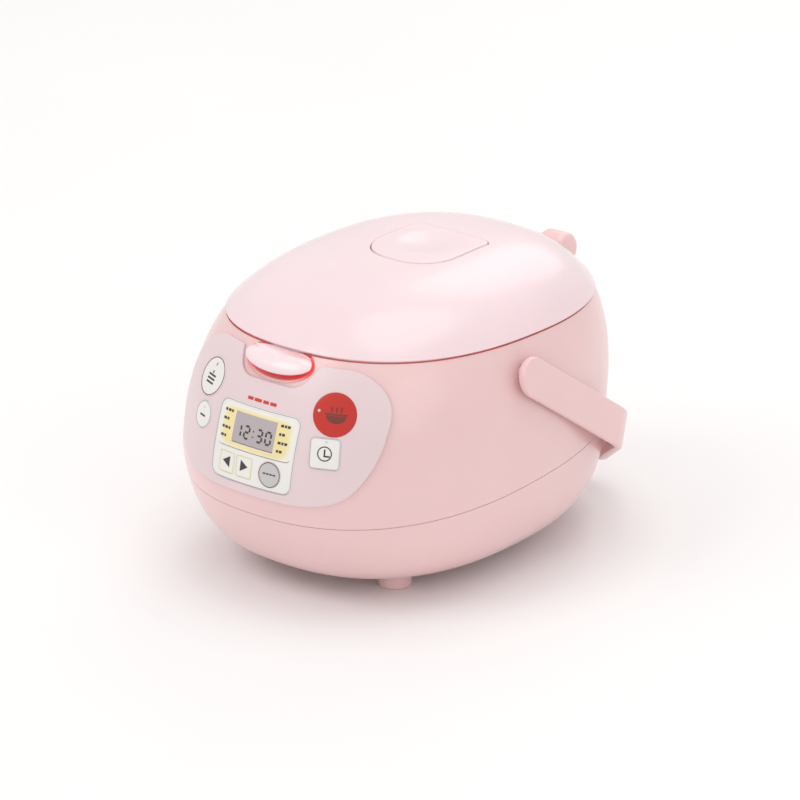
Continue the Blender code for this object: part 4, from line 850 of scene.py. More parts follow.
def make_outer_lid():
    level = LID_SEAM_Z + LID_SEAM_GAP / 2
    rim_scale = float(section_scale(level))
    heights = [0.0020, 0.0036, 0.0055, 0.0078, 0.0105]
    outer = fillet(level, LID_SEAM_SLOPE, LID_OVERHANG, SEAM_SOFT, 1)
    outer += [ring(level + h, LID_SEAM_SLOPE, overhang(h)) for h in heights]
    first = float(section_scale(level + 0.0135)) / rim_scale
    shares = [first * cos(pi / 2 * step / 44) for step in range(44)]
    for share in shares:
        scale = rim_scale * share
        rise = upper_height(scale) - level
        slope = LID_SEAM_SLOPE * max(share - 0.5, 0) * 2
        outer.append(ring(level + rise, slope, overhang(rise)))
    inner = []
    for share in [1.0] + shares[::3]:
        scale = rim_scale * share
        slope = LID_SEAM_SLOPE * max(share - 0.5, 0) * 2
        inner.append(ring(upper_height(scale), slope, -WALL))
    top = (0, float(section_centre(TOP_Z)), TOP_Z)
    under = (0, top[1], TOP_Z - WALL)
    mesh = loft(inner[::-1] + outer, under, top)
    tongue = soft_box((HINGE_EAR + 0.002 - HINGE_HALF_LENGTH, HINGE_Y - 0.012, LINER_Z[1]),
                      (HINGE_INNER_X - 0.002, HINGE_Y, LINER_Z[1] + 0.0028), 0)
    mesh = combine(mesh, [steam_hole(), hinge_clearance(), tongue])
    add("lid_shell", mesh, LID_PAINTED_TOP_LIGHT, "lid", ["outer_lid"], skin=True)


def make_body_shell():
    low, high = BASE_SEAM_Z + BASE_SEAM_GAP / 2, LID_SEAM_Z - LID_SEAM_GAP / 2
    outer = fillet(low, BASE_SEAM_SLOPE, 0, SEAM_SOFT * 0.5, 1)
    levels = []
    for step in range(1, 30):
        share = step / 30
        levels.append((low + (high - low) * share,
                       BASE_SEAM_SLOPE + (LID_SEAM_SLOPE - BASE_SEAM_SLOPE) * share))
    outer += [ring(level, slope) for level, slope in levels]
    outer += fillet(high, LID_SEAM_SLOPE, 0, SEAM_SOFT, -1)[::-1]
    inner = [ring(high, LID_SEAM_SLOPE, -WALL)]
    inner += [ring(level, slope, -WALL) for level, slope in levels[::-3]]
    inner.append(ring(low, BASE_SEAM_SLOPE, -WALL))
    mesh = loft(outer + inner, loop=True)
    opening = rounded_outline([
        (-0.052, 0.083, 0.008), (0.052, 0.083, 0.008), (0.066, 0.104, 0.010),
        (0.066, 0.1395, 0.006), (-0.066, 0.1395, 0.006), (-0.066, 0.104, 0.010),
    ])
    scoop = ellipsoid([r + SCOOP_SKIN + 0.0001 for r in SCOOP_RADII], SCOOP_PLACE)
    reach = BODY_HALF_WIDTH + 0.02
    hubs = cross_rod(HANDLE_HUB_RADIUS + CLEARANCE, -reach, reach, HANDLE_Y, HANDLE_Z)
    mesh = combine(mesh, [prism(opening, -0.05, 0.05, FRONT), scoop, hinge_clearance(), hubs])
    add("body_skin", mesh, SHELL, "root", ["body_shell"], skin=True)


def make_seam_lips():
    """A lip in the seam under the lid, coloured coral red as painted shade for the reddish light in
    the gap, and a pink tongue behind the base seam.
    """
    rings = []
    for rise, out in (
        (-0.0040, -0.0036), (-0.0040, -0.0026), (-0.0008, -0.0024), (-0.0004, -0.0012),
        (0.0001, -0.0007), (0.0004, -0.0010), (0.0003, -0.0030),
    ):
        rings.append(ring(LID_SEAM_Z + rise, LID_SEAM_SLOPE, out))
    mesh = loft(rings, loop=True)
    scoop = ellipsoid([r + 0.0002 for r in SCOOP_RADII], SCOOP_PLACE)
    mesh = combine(mesh, [hinge_clearance(), scoop])
    add("seam_lip", mesh, SEAM_PAINTED_SHADE, "root")

    rings = []
    for rise, out in ((-0.003, -0.0035), (-0.003, -0.0024), (-0.0002, -0.0024), (0.0, -0.0003),
                      (0.0002, -0.0024), (0.003, -0.0024), (0.003, -0.0035)):
        rings.append(ring(BASE_SEAM_Z + rise, BASE_SEAM_SLOPE, out))
    mesh = loft(rings, loop=True)
    mesh = combine(mesh, [prism(inlet_outline(CLEARANCE), -0.03, 0.002, inlet_frame())])
    add("base_tongue", mesh, SHELL, "root")


def make_base_shell():
    seam = BASE_SEAM_Z - BASE_SEAM_GAP / 2
    outer = []
    for step in range(27):
        share = 1 - cos(pi / 2 * step / 27)
        outer.append(ring(BASE_Z + (seam - BASE_Z) * share, BASE_SEAM_SLOPE * share))
    outer += fillet(seam, BASE_SEAM_SLOPE, 0, SEAM_SOFT * 0.5, -1)[::-1]
    inner = [ring(seam, BASE_SEAM_SLOPE, -WALL)]
    floor = BASE_Z + 0.0025
    for step in range(1, 9):
        share = 1 - step / 9
        inner.append(ring(floor + (seam - floor) * share, BASE_SEAM_SLOPE * share, -WALL))
    inner.append(ring(floor, 0, -WALL))
    shelf = ring(BASE_Z)
    middle = np.array((0, 0, BASE_Z))
    bottom = [middle + (shelf - middle) * share for share in (0.35, 0.7, 0.9, 0.955, 0.985)]
    lift = np.array((0, 0, 0.0008))
    bottom = [line + (lift if index < 4 else 0) for index, line in enumerate(bottom)]
    mesh = loft(bottom + outer + inner, tuple(middle + lift), (0, 0, floor))
    tools = [
        soft_rod(FOOT_HOLE_RADIUS, (x, y, 0), (x, y, 0.03), 0, 24) for x, y in foot_places()
    ]
    tools += [prism(inlet_outline(CLEARANCE), -0.03, 0.002, inlet_frame())]
    for row in range(-4, 5):
        slot = box_outline(0.018, 0.0012, 0.0011, (0, row * VENT_PITCH + 0.004))
        tools.append(prism(slot, 0.0, 0.03))
    mesh = combine(mesh, tools)
    add("base_skin", mesh, SHELL, "root", ["base_shell"], skin=True)


def form_volume():
    """The upper part of the form as a closed solid."""
    start = WIDEST_Z + 0.03
    lines = [ring(start + step * 0.004, count=160) for step in range(19)]
    return loft(lines, (0, 0, start), (0, 0.02, lines[-1][0][2]))


# ---------------------------------------------------------------- steam cap
def make_steam_cap():
    outline = resample(steam_outline(), 0.0015)
    centre = np.array(STEAM_CENTRE)

    def surface(line, lift):
        reach = np.linalg.norm(line - centre, axis=1) / DISH_RADIUS
        hollow = DISH_DEPTH * np.clip(1 - reach ** 2, 0, 1) ** 1.5
        return at_height(line, dome_z(line[:, 0], line[:, 1]) + lift - hollow)

    proud = STEAM_PROUD
    under = -STEAM_THICKNESS
    rings = []
    for share in (0.5, 1.0):
        line = centre + (outline - centre) * share
        rings.append(at_height(line, dome_z(line[:, 0], line[:, 1]) + under))
    for step in range(6):
        angle = pi / 2 * step / 5
        line = inset(outline, STEAM_SOFT * (1 - cos(angle)))
        rings.append(surface(line, proud - STEAM_SOFT * (1 - sin(angle))))
    top = inset(outline, STEAM_SOFT)
    for row in range(1, 22):
        rings.append(surface(centre + (top - centre) * (1 - row / 22), proud))
    middle = float(dome_z(np.array([centre[0]]), np.array([centre[1]]))[0])
    mesh = loft(rings, (*centre, middle + under), (*centre, middle + proud - DISH_DEPTH))
    add("steam_lid", mesh, LID_PAINTED_TOP_LIGHT, "steam_cap_body", ["steam_cap"], sharp=60)


# ---------------------------------------------------------------- inside
def make_pot():
    small = POT_CORNER - POT_WALL
    corner, inner = [], []
    for step in range(9):
        angle = pi / 2 * step / 8
        corner.append((POT_RADIUS - POT_CORNER + POT_CORNER * cos(angle),
                       POT_BOTTOM_Z + POT_CORNER - POT_CORNER * sin(angle)))
        inner.append((POT_RADIUS - POT_CORNER + small * cos(pi / 2 - angle),
                      POT_BOTTOM_Z + POT_CORNER - small * sin(pi / 2 - angle)))
    lip = POT_RIM_Z - POT_WALL
    profile = soft_profile([
        (POT_RADIUS + 0.001, POT_RIM_Z, 0.002), (POT_RIM_RADIUS, POT_RIM_Z, 0.0009),
        (POT_RIM_RADIUS, lip, 0.0009), (POT_RADIUS, lip, 0.0008),
    ], 0.001)
    profile += corner + [(0, POT_BOTTOM_Z), (0, POT_BOTTOM_Z + POT_WALL)] + inner
    marks = []
    for level in (0.080, 0.092, 0.104, 0.116, 0.128):
        radius = POT_RADIUS - POT_WALL
        marks.append((radius, level - 0.0003))
        marks.append((radius - 0.00025, level))
        marks.append((radius, level + 0.0003))
    profile += marks + [(POT_RADIUS - POT_WALL, POT_RIM_Z - 0.004)]
    mesh = turned(profile, (0, POT_Y), 128)
    add("cooking_pot", mesh, COATING, "root", ["inner_pot"])


def make_deck():
    bottom = DECK_TOP_Z - DECK_THICKNESS
    edge = ring(DECK_TOP_Z, 0, -WALL * 1.5 - CLEARANCE)
    angle = np.arctan2(edge[:, 1] - POT_Y, edge[:, 0])
    hole = np.stack((np.cos(angle), np.sin(angle)), -1)

    def line(share, z):
        flat = hole * DECK_HOLE + np.array((0, POT_Y))
        mixed = edge[:, :2] * share + flat * (1 - share)
        return at_height(mixed, z)

    rings = [
        line(1, bottom), line(1, DECK_TOP_Z - 0.0006), line(0.985, DECK_TOP_Z),
        line(0.62, DECK_TOP_Z), line(0.56, DECK_TOP_Z + 0.0007), line(0.46, DECK_TOP_Z + 0.0007),
        line(0.40, DECK_TOP_Z), line(0.12, DECK_TOP_Z), line(0.02, DECK_TOP_Z - 0.0004),
        line(0, DECK_TOP_Z - 0.0009), line(0, bottom),
    ]
    mesh = loft(rings, loop=True)
    front = POT_Y - POT_RIM_RADIUS - 0.0075
    notch = soft_box((-0.033, -0.16, 0.14), (0.033, front, 0.16), 0)
    mesh = combine(mesh, [notch, hinge_clearance()])
    add("deck_skin", mesh, SHELL, "root", ["shoulder_deck"])


def make_lid_liner():
    edge = ring(LINER_Z[1], 0, -WALL * 1.9)[:, :2]
    low, high = LINER_Z
    rings = []
    for share, z in (
        (0.4, low), (0.90, low), (0.915, low + 0.0004), (0.93, low), (0.99, low), (1, low + 0.0006),
        (1, high - 0.0004), (0.995, high), (0.4, high),
    ):
        middle = np.array((0, POT_Y))
        rings.append(at_height(middle + (edge - middle) * share, z))
    mesh = loft(rings, (0, POT_Y, low), (0, POT_Y, high))
    spigot = soft_rod(STEAM_SPIGOT_RADIUS, (*STEAM_CENTRE, 0.14), (*STEAM_CENTRE, 0.18))
    slot = soft_box((-0.009, -0.1, 0.15), (0.009, -0.0865, 0.17), 0)
    mesh = combine(mesh, [spigot, slot, hinge_clearance()])
    add("liner_skin", mesh, WHITE, "lid", ["lid_liner"])


def make_inner_lid():
    """The lift-out lid plate with its pressed rings and steam holes."""
    low, high = INNER_LID_Z
    profile = [(0, low)]
    for radius in (0.020, 0.038, 0.056, 0.074):
        profile += [(radius - 0.0012, low), (radius, low + 0.0005), (radius + 0.0012, low)]
    profile += soft_profile([
        (INNER_LID_RADIUS, low), (INNER_LID_RADIUS, high), (0.0, high),
    ], 0.0004)[:-1] + [(0, high)]
    mesh = turned(profile, (0, POT_Y), 128)
    holes = []
    for index in range(6):
        angle = 2 * pi * index / 6
        x, y = 0.006 * cos(angle), STEAM_CENTRE[1] + 0.006 * sin(angle)
        holes.append(soft_rod(0.0017, (x, y, 0.14), (x, y, 0.17), 0, 24))
    mesh = combine(mesh, holes)
    add("inner_lid_plate", mesh, ALUMINIUM, "lid", ["inner_lid"])


def make_lid_gasket():
    inner, outer = INNER_LID_RADIUS + CLEARANCE, POT_RIM_RADIUS - 0.001
    low, high = GASKET_Z
    profile = soft_profile([
        (outer, high), (outer, low + 0.001), (outer - 0.0026, low), (inner + 0.001, low + 0.0006),
        (inner, high),
    ], 0.0008)
    mesh = turned(profile, (0, POT_Y), 128)
    add("lid_gasket", mesh, SILICONE, "lid", ["inner_lid_gasket"])


# ---------------------------------------------------------------- hinge
def make_hinge():
    outer_x = HINGE_HALF_LENGTH - HINGE_EAR
    deck = DECK_TOP_Z + CLEARANCE
    pieces = []
    for radius, low, high, soft in (
        (HINGE_RADIUS, -HINGE_HALF_LENGTH, -outer_x, 0.0012),
        (HINGE_HOUSING_RADIUS, HINGE_INNER_X, HINGE_HALF_LENGTH, 0.0050),
    ):
        pieces.append(hinge_span(radius, low, high, soft))
        pieces.append(soft_box((low + 0.0001, HINGE_Y - 0.030, deck),
                               (high - 0.0001, HINGE_Y - 0.0055, HINGE_Z - 0.002), 0.0006))
    bracket = soft_box((-HINGE_HALF_LENGTH + 0.001, HINGE_Y - 0.0295, deck + 0.0001),
                       (HINGE_HALF_LENGTH - 0.001, HINGE_Y - 0.014, deck + 0.0022), 0.0005)
    mesh = combine(bracket, pieces, "UNION")
    pin = HINGE_HALF_LENGTH - 0.002
    mesh = combine(mesh, [hinge_span(HINGE_PIN_RADIUS + CLEARANCE, -pin, pin)])
    add("hinge_ears", mesh, SHELL, "root", ["hinge_bracket"])

    left, right = -outer_x + CLEARANCE, HINGE_INNER_X - CLEARANCE
    knuckle = hinge_span(HINGE_RADIUS, left, right, 0.0008)
    tongue = soft_box((left + 0.002, HINGE_Y - 0.030, LINER_Z[1] + CLEARANCE),
                      (right - 0.002, HINGE_Y - 0.0055, LINER_Z[1] + 0.0024), 0.0005)
    mesh = combine(knuckle, [tongue], "UNION")
    bay_left = (left + right - SPRING_BAY_LENGTH) / 2
    bay_right = (left + right + SPRING_BAY_LENGTH) / 2
    mesh = combine(mesh, [
        hinge_span(HINGE_PIN_RADIUS + CLEARANCE, -pin, pin),
        hinge_span(SPRING_BAY_RADIUS, bay_left, bay_right),
        soft_box((bay_left + 0.0001, HINGE_Y - 0.0048, HINGE_Z - 0.012),
                 (bay_right - 0.0001, HINGE_Y + 0.0005, HINGE_Z - 0.001), 0),
    ])
    add("hinge_knuckle", mesh, SHELL, "lid", ["lid_hinge_arm"])


# ---------------------------------------------------------------- handle
def handle_arm(along):
    """A point of the straight arm, as (x, distance from the pivot)."""
    return Vector((HANDLE_HALF_SPAN + along * sin(HANDLE_SPLAY), along))


def bend(corner, source, target, steps=12):
    arriving, leaving = (source - corner).normalized(), (target - corner).normalized()
    half = arriving.angle(leaving) / 2
    reach = HANDLE_BEND / tan(half)
    centre = corner + (arriving + leaving).normalized() * (HANDLE_BEND / sin(half))
    start = corner + arriving * reach - centre
    sweep = start.angle_signed(corner + leaving * reach - centre)
    return [
        centre + Matrix.Rotation(-sweep * step / steps, 2) @ start for step in range(steps + 1)
    ]


def handle_section(place, outward, half_width, half_thick, count=28):
    """A pillow-edged strap section that leans towards the body."""
    lean = HANDLE_LEAN * max(-1, min(1, place.x / HANDLE_HALF_SPAN))
    axis = Vector((0, sin(HANDLE_DROOP), cos(HANDLE_DROOP)))
    along = outward.cross(axis).normalized()
    turn = Matrix.Rotation(abs(lean), 3, along)
    axis, outward = turn @ axis, turn @ outward
    points = []
    soft = min(half_thick * 0.8, half_width * 0.9)
    for a, b in box_outline(half_thick, half_width, soft * 0.98, steps=6):
        points.append(place + outward * a + axis * b)
    return np.array(points)


def make_handle():
    half_width = HANDLE_WIDTH / 2
    flat, widths, thick = [], [], []
    steps = 14
    for step in range(steps + 1):
        angle = pi / 2 * step / steps
        flat.append(handle_arm(-half_width * cos(angle)))
        widths.append(half_width * max(sin(angle), 0.06))
        thick.append(HANDLE_THICKNESS / 2 * min(1.0, 0.35 + 1.4 * sin(angle)))
    elbow = handle_arm(HANDLE_ARM)
    shoulder = Vector((HANDLE_GRIP_HALF, HANDLE_REACH))
    bow = [handle_arm(HANDLE_ARM * share) for share in (0.1, 0.2, 0.3, 0.4, 0.5, 0.6)]
    bow += bend(elbow, handle_arm(0), shoulder)
    bow += bend(shoulder, elbow, Vector((0, HANDLE_REACH)))
    bow += [Vector((HANDLE_GRIP_HALF * share, HANDLE_REACH)) for share in (0.5, 0.3, 0.1)]
    flat += bow
    widths += [half_width] * len(bow)
    thick += [HANDLE_THICKNESS / 2] * len(bow)
    flat += [Vector((-p.x, p.y)) for p in reversed(flat)]
    widths += widths[::-1]
    thick += thick[::-1]
    rings = []
    for i, point in enumerate(flat):
        ahead = (flat[min(i + 1, len(flat) - 1)] - flat[max(i - 1, 0)]).normalized()
        outward = Vector((ahead.y, -ahead.x * cos(HANDLE_DROOP), ahead.x * sin(HANDLE_DROOP)))
        place = Vector((
            point.x, HANDLE_Y + point.y * cos(HANDLE_DROOP), HANDLE_Z - point.y * sin(HANDLE_DROOP)
        ))
        rings.append(handle_section(place, outward, widths[i], thick[i]))
    mesh = loft(rings, rings[0].mean(0), rings[-1].mean(0))
    inner_face = HANDLE_HALF_SPAN - HANDLE_THICKNESS / 2
    sockets = []
    for side in (-1, 1):
        sockets.append(cross_rod(
            HANDLE_PIN_RADIUS + 0.0003, side * (inner_face - 0.006), side * (inner_face + 0.0028),
            HANDLE_Y, HANDLE_Z,
        ))
    mesh = combine(mesh, sockets)
    add("handle_strap", mesh, SHELL, "handle_body", ["handle"], sharp=50)


# ---------------------------------------------------------------- latch
def latch_pin_bore():
    return cross_rod(LATCH_PIN_RADIUS + 0.0003, -0.03, 0.03, LATCH_PIN_Y, LATCH_PIN_Z)


def make_latch_scoop():
    """The hollow under the latch, pink at its front and painted strong red further in, as painted
    shade with a painted glow.
    """
    outer = ellipsoid([radius + SCOOP_SKIN for radius in SCOOP_RADII], SCOOP_PLACE)
    pieces = []
    for side in (-1, 1):
        low, high = sorted((side * 0.0115, side * 0.0145))
        pieces.append(soft_box(
            (low, LATCH_PIN_Y - 0.010, 0.143), (high, LATCH_PIN_Y + 0.004, 0.1535), 0
        ))
    mesh = combine(outer, pieces, "UNION")
    lid_line = LID_SEAM_Z - LID_SEAM_SLOPE * 0.11 - 0.0009
    cuts = [
        ellipsoid(SCOOP_RADII, SCOOP_PLACE),
        soft_box((-0.05, -0.2, lid_line), (0.05, 0.0, 0.2), 0),
        soft_box((-0.05, -0.107, LINER_Z[0] - 0.0006), (0.05, 0.01, 0.21), 0),
        soft_box((-0.0095, -0.112, 0.1465), (0.0095, -0.09, 0.158), 0),
        latch_pin_bore(),
    ]
    mesh = combine(mesh, cuts)
    mesh = combine(mesh, [form_volume()], "INTERSECT")
    # Painted shade: the hollow turns strong red further in, under the lens, with a painted glow
    # there.
    points = vertex_array(mesh)
    sunk = points[:, 1] - SCOOP_PLACE[1]
    paint(mesh, "painted_shade_and_tint", np.clip((sunk + 0.004) / 0.009, 0, 1) ** 1.2)
    add("latch_scoop", mesh, SHELL_PAINTED_SHADE, "root", ["latch_housing"])


def make_latch_lens():
    """The press button: a lens with a hub on the pin and a hook that reaches up."""
    mesh = ellipsoid(LATCH_RADII, LATCH_PLACE, LATCH_TILT)
    room = ellipsoid([radius - 0.0008 for radius in SCOOP_RADII], SCOOP_PLACE)
    mesh = combine(mesh, [room], "INTERSECT")
    above = soft_box((-0.05, -0.14, LID_SEAM_Z + 0.0022), (0.05, -0.08, 0.18), 0)
    mesh = combine(mesh, [above])
    x, y, z = LATCH_ARM_HALF_WIDTH, LATCH_PIN_Y, LATCH_PIN_Z
    arm = [
        soft_box((-x, -0.1095, 0.1515), (x, y + 0.004, 0.1568), 0.0004),
        cross_rod(0.0042, -x, x, y, z, 0.0004),
        soft_box((-0.0078, y - 0.0038, z), (0.0078, y + 0.0038, 0.153), 0.0003),
        soft_box((-0.005, y + 0.001, 0.154), (0.005, y + 0.0038, 0.1638), 0.0003),
        soft_box((-0.0048, y + 0.002, 0.1618), (0.0048, y + 0.0054, 0.1636), 0.0003),
    ]
    mesh = combine(mesh, arm, "UNION")
    mesh = combine(mesh, [latch_pin_bore()])
    # Painted shade: the lens turns strong red towards its rear and top, where the lid rim shades it.
    points = vertex_array(mesh)
    back = (points[:, 1] - LATCH_PLACE[1] + 0.5 * (points[:, 2] - LATCH_PLACE[2])) / 0.006
    on_lens = points[:, 1] < y - 0.0127
    paint(mesh, "painted_shade_and_tint", np.clip(back, 0, 1) ** 1.5 * on_lens)
    add("latch_lens", mesh, LENS, "latch", ["latch_button"], sharp=50)


# ---------------------------------------------------------------- control panel
def panel_outline():
    right = [
        (0.0310, PANEL_TOP_Z, 0.0020), (0.0560, PANEL_TOP_Z - 0.0005, 0.0350),
        (PANEL_HALF_WIDTH, 0.1410, 0.0280), (PANEL_HALF_WIDTH, 0.1060, 0.0550),
        (0.0640, 0.0805, 0.0260), (0.0380, PANEL_BOTTOM_Z, 0.1000),
    ]
    notch = [(0.0230, PANEL_NOTCH_Z, 0.0130)]
    clockwise = notch + right + [(-x, z, r) for x, z, r in reversed(notch + right)]
    return rounded_outline(clockwise[::-1])


def button_outline(name, grow=0.0):
    half_width, half_height, radius = BUTTONS[name][2:5]
    return box_outline(half_width + grow, half_height + grow, radius + grow)


def bar(x, y, half_width, half_height, soft=0.0):
    if soft:
        return box_outline(half_width, half_height, soft, (x, y), 4)
    return np.array([
        (x - half_width, y - half_height), (x + half_width, y - half_height),
        (x + half_width, y + half_height), (x - half_width, y + half_height),
    ])


def marks(place, height, shapes, step=0.002):
    """Thin printed shapes on the skin; each is (outline, material index)."""
    parts = []
    for outline, index in shapes:
        centre = outline.mean(0)
        parts.append((plate(
            outline, place, height - PRINT, height + PRINT, centre=centre, rows=2, step=step
        ), index))
    return parts


def hoop(place, height, outline, width, index):
    """A thin line round an outline: print, and on the menu button painted shade."""
    outer = resample(outline, 0.0012)
    rings = []
    for line, lift in (
        (outer, -PRINT), (outer, PRINT), (inset(outer, width), PRINT), (inset(outer, width), -PRINT)
    ):
        rings.append(on_skin(place, line[:, 0], line[:, 1], np.full(len(line), height + lift)))
    return (loft(rings, loop=True), index)


SEGMENTS = {"0": "abcdef", "1": "bc", "2": "abged", "3": "abgcd"}


def seven_segment(x, z, digit):
    """The lit bars of one display digit."""
    thick, gap = 0.00058, 0.0006
    side, top = DIGIT_HALF_WIDTH, DIGIT_HALF_HEIGHT
    reach, rise = side - gap, top / 2 - gap
    spots = {
        "a": (0, top, reach, thick), "g": (0, 0, reach, thick), "d": (0, -top, reach, thick),
        "f": (-side, top / 2, thick, rise), "b": (side, top / 2, thick, rise),
        "e": (-side, -top / 2, thick, rise), "c": (side, -top / 2, thick, rise),
    }
    shapes = []
    for name in SEGMENTS[digit]:
        dx, dz, half_width, half_height = spots[name]
        shapes.append(bar(x + dx, z + dz, half_width, half_height))
    return shapes


def button_holes(*names):
    """Tools that cut the room for some of the buttons."""
    tools = []
    for name in names:
        place = front_frame(*BUTTONS[name][:2])
        tools.append(prism(button_outline(name, BUTTON_ROOM), -0.01, 0.01, place))
    return tools


def span_box(x_span, z_span):
    """The centre and half sizes of a rectangle on the front."""
    centre = (sum(x_span) / 2, sum(z_span) / 2)
    return centre, (x_span[1] - x_span[0]) / 2, (z_span[1] - z_span[0]) / 2


BEZEL_BOX = span_box((-BEZEL_HALF_WIDTH, BEZEL_HALF_WIDTH), BEZEL_Z)
LEGEND_BOX = span_box((-LEGEND_HALF_WIDTH, LEGEND_HALF_WIDTH), LEGEND_Z)
WINDOW_BOX = span_box(WINDOW_X, WINDOW_Z)


def box_hole(box, room, corner):
    """A tool that cuts the room for a rectangular piece in the one round it."""
    centre, half_width, half_height = box
    return prism(box_outline(half_width + room, half_height + room, corner, centre),
                 -0.05, 0.05, FRONT)


def make_panel():
    mesh = plate(panel_outline(), FRONT, *PANEL_LAYER, soft=0.0007, centre=(0, PANEL_CENTRE_Z),
                 rows=44, step=0.0016)
    mesh = combine(mesh, [
        box_hole(BEZEL_BOX, PLATE_ROOM * 2, BEZEL_CORNER),
        *button_holes("cook_button", "keep_warm_button", "timer_button", "cancel_button"),
    ])
    # x and half width of each dash that stands in for the lettering
    dashes = ((-0.0095, 0.0022), (-0.0035, 0.0028), (0.0028, 0.0022), (0.0085, 0.0024))
    shapes = [(bar(x, DASH_Z, half, 0.0009), 1) for x, half in dashes]
    mesh = together([(mesh, 0), *marks(FRONT, PANEL_LAYER[1] + PRINT, shapes)])
    add("panel_skin", mesh, [PANEL, INK_RED], "root", ["control_panel"], skin=True)


def make_bezel():
    centre, half_width, half_height = BEZEL_BOX
    edge = box_outline(half_width, half_height, BEZEL_CORNER, centre)
    mesh = plate(edge, FRONT, *BEZEL_LAYER, soft=0.0005, centre=centre, rows=18)
    mesh = combine(mesh, [
        box_hole(LEGEND_BOX, PLATE_ROOM, LEGEND_CORNER),
        *button_holes("menu_button", "hour_down_button", "hour_up_button"),
    ])
    line = hoop(FRONT, BEZEL_LAYER[1] + PRINT, inset(edge, 0.0003), 0.0005, 1)
    mesh = together([(mesh, 0), line])
    add("bezel_skin", mesh, [WHITE, INK_GREY], "root", ["display_bezel"], skin=True)


def legend_labels():
    """Four rows of short bars on either side of the window."""
    labels = []
    for row in range(4):
        z = 0.1215 - row * 0.0050
        for x, widths in ((-0.0228, (0.0011, 0.0014, 0.0009)), (0.0218, (0.0013, 0.0009, 0.0012))):
            spot = x - (sum(widths) + 0.0006)
            for width in widths[row % 2:]:
                spot += width
                labels.append((bar(spot, z, width * 0.8, 0.00075), 1))
                spot += width + 0.0002
    return labels


def make_legend():
    """The cream film round the display, yellow towards its middle."""
    centre, half_width, half_height = LEGEND_BOX
    edge = box_outline(half_width, half_height, LEGEND_CORNER, centre)
    mesh = plate(edge, FRONT, LEGEND_LAYER[0], BEZEL_LAYER[1], centre=centre, rows=24)
    points = vertex_array(mesh)
    side = np.abs(points[:, 0]) / half_width
    rise = np.abs(points[:, 2] - centre[1]) / half_height
    paint(mesh, "tint", np.clip((1.0 - (side ** 6 + rise ** 6) ** (1 / 6)) / 0.16, 0, 1))
    mesh = combine(mesh, [box_hole(WINDOW_BOX, PLATE_ROOM, WINDOW_CORNER + PLATE_ROOM)])
    mesh = together([(mesh, 0), *marks(FRONT, BEZEL_LAYER[1] + PRINT, legend_labels())])
    add("legend_skin", mesh, [CREAM, INK_DARK], "root", ["legend_plate"], skin=True)


def make_window():
    centre, half_width, half_height = WINDOW_BOX
    top = BEZEL_LAYER[1] + 0.00005
    edge = box_outline(half_width, half_height, WINDOW_CORNER, centre)
    mesh = plate(edge, FRONT, WINDOW_LAYER[0], top, centre=centre, rows=12)
    shapes = []
    for x, digit in zip(DIGIT_X, "1230"):
        shapes += seven_segment(centre[0] + x * DIGIT_SPREAD + 0.0015, DIGIT_Z, digit)
    for z in (0.1106, 0.1139):
        shapes.append(bar(centre[0] - 0.0001, z, 0.0004, 0.0004))
    parts = marks(FRONT, top + PRINT, [(shape, 1) for shape in shapes])
    mesh = together([(mesh, 0), *parts])
    add("window_skin", mesh, [DISPLAY, INK_DARK], "root", ["display_window"],
        skin=True)


def bowl(x, y, size):
    """A half disc, open side up."""
    points = [(x + size * cos(pi + pi * i / 16), y + size * 0.75 * sin(pi + pi * i / 16))
              for i in range(17)]
    return np.array(points)


def triangle(x, y, size, side):
    points = [(x - side * size * 0.75, y - size), (x + side * size * 0.9, y),
              (x - side * size * 0.75, y + size)]
    return np.array(points if side > 0 else points[::-1])


def button_print(name):
    """The printed shapes of one button: (outline, material index) in its own frame."""
    if name == "cook_button":
        lines = [bar(0.0012 + dx, 0.0030, 0.00055, 0.0017, 0.0005) for dx in (-0.003, 0, 0.003)]
        return [(bowl(0.0012, -0.0008, 0.0062), 1), (bar(0.0012, 0.0001, 0.0070, 0.0005), 1),
                *[(line, 1) for line in lines], (circle(0.0009, (-0.0098, 0.0018), 20), 2)]
    if name == "keep_warm_button":
        rows = [bar(0.0, z, 0.0042, 0.0006, 0.0005) for z in (-0.0042, -0.0018, 0.0006)]
        return [*[(row, 1) for row in rows], (bar(0.0, 0.0026, 0.0006, 0.0010, 0.0005), 1),
                (bar(0.0, 0.0078, 0.00045, 0.0011, 0.0004), 2)]
    if name == "timer_button":
        return [(bar(0.0, 0.0004, 0.00050, 0.0023), 1), (bar(0.0015, -0.0015, 0.0018, 0.00050), 1),
                (circle(0.0007, (0.0006, 0.0072), 16), 2)]
    if name == "cancel_button":
        return [(bar(0.0, -0.0006, 0.0030, 0.0006, 0.0005), 1),
                (circle(0.0006, (0.0, 0.0045), 16), 2)]
    if name == "menu_button":
        return [(bar(dx, 0.0004, 0.0009, 0.00042), 1) for dx in (-0.0036, -0.0012, 0.0012, 0.0036)]
    return [(triangle(0.0, 0.0006, 0.0035, -1 if "down" in name else 1), 1)]


# name: (face, ink, dot, slot, line width, line ink)
BUTTON_LOOKS = {
    "cook_button": (RED, INK_BROWN, INK_PALE, "red_plastic", 0, None),
    "keep_warm_button": (WHITE, INK_DARK, INK_RED, "white_plastic", 0.0005, INK_BROWN),
    "timer_button": (WHITE, INK_DARK, INK_PALE, "white_plastic", 0.0004, INK_GREY),
    "cancel_button": (WHITE, INK_DARK, INK_PALE, "white_plastic", 0.0004, INK_GREY),
    # The menu button's brown line round its rim is painted shade and red reflection at its edge, not
    # print.
    "menu_button": (SILVER, INK_DARK, INK_PALE, "silver_plastic", 0.0004, INK_BROWN),
    "hour_down_button": (WHITE, INK_DARK, INK_PALE, "white_plastic", 0.0005, INK_YELLOW),
    "hour_up_button": (WHITE, INK_DARK, INK_PALE, "white_plastic", 0.0005, INK_YELLOW),
}


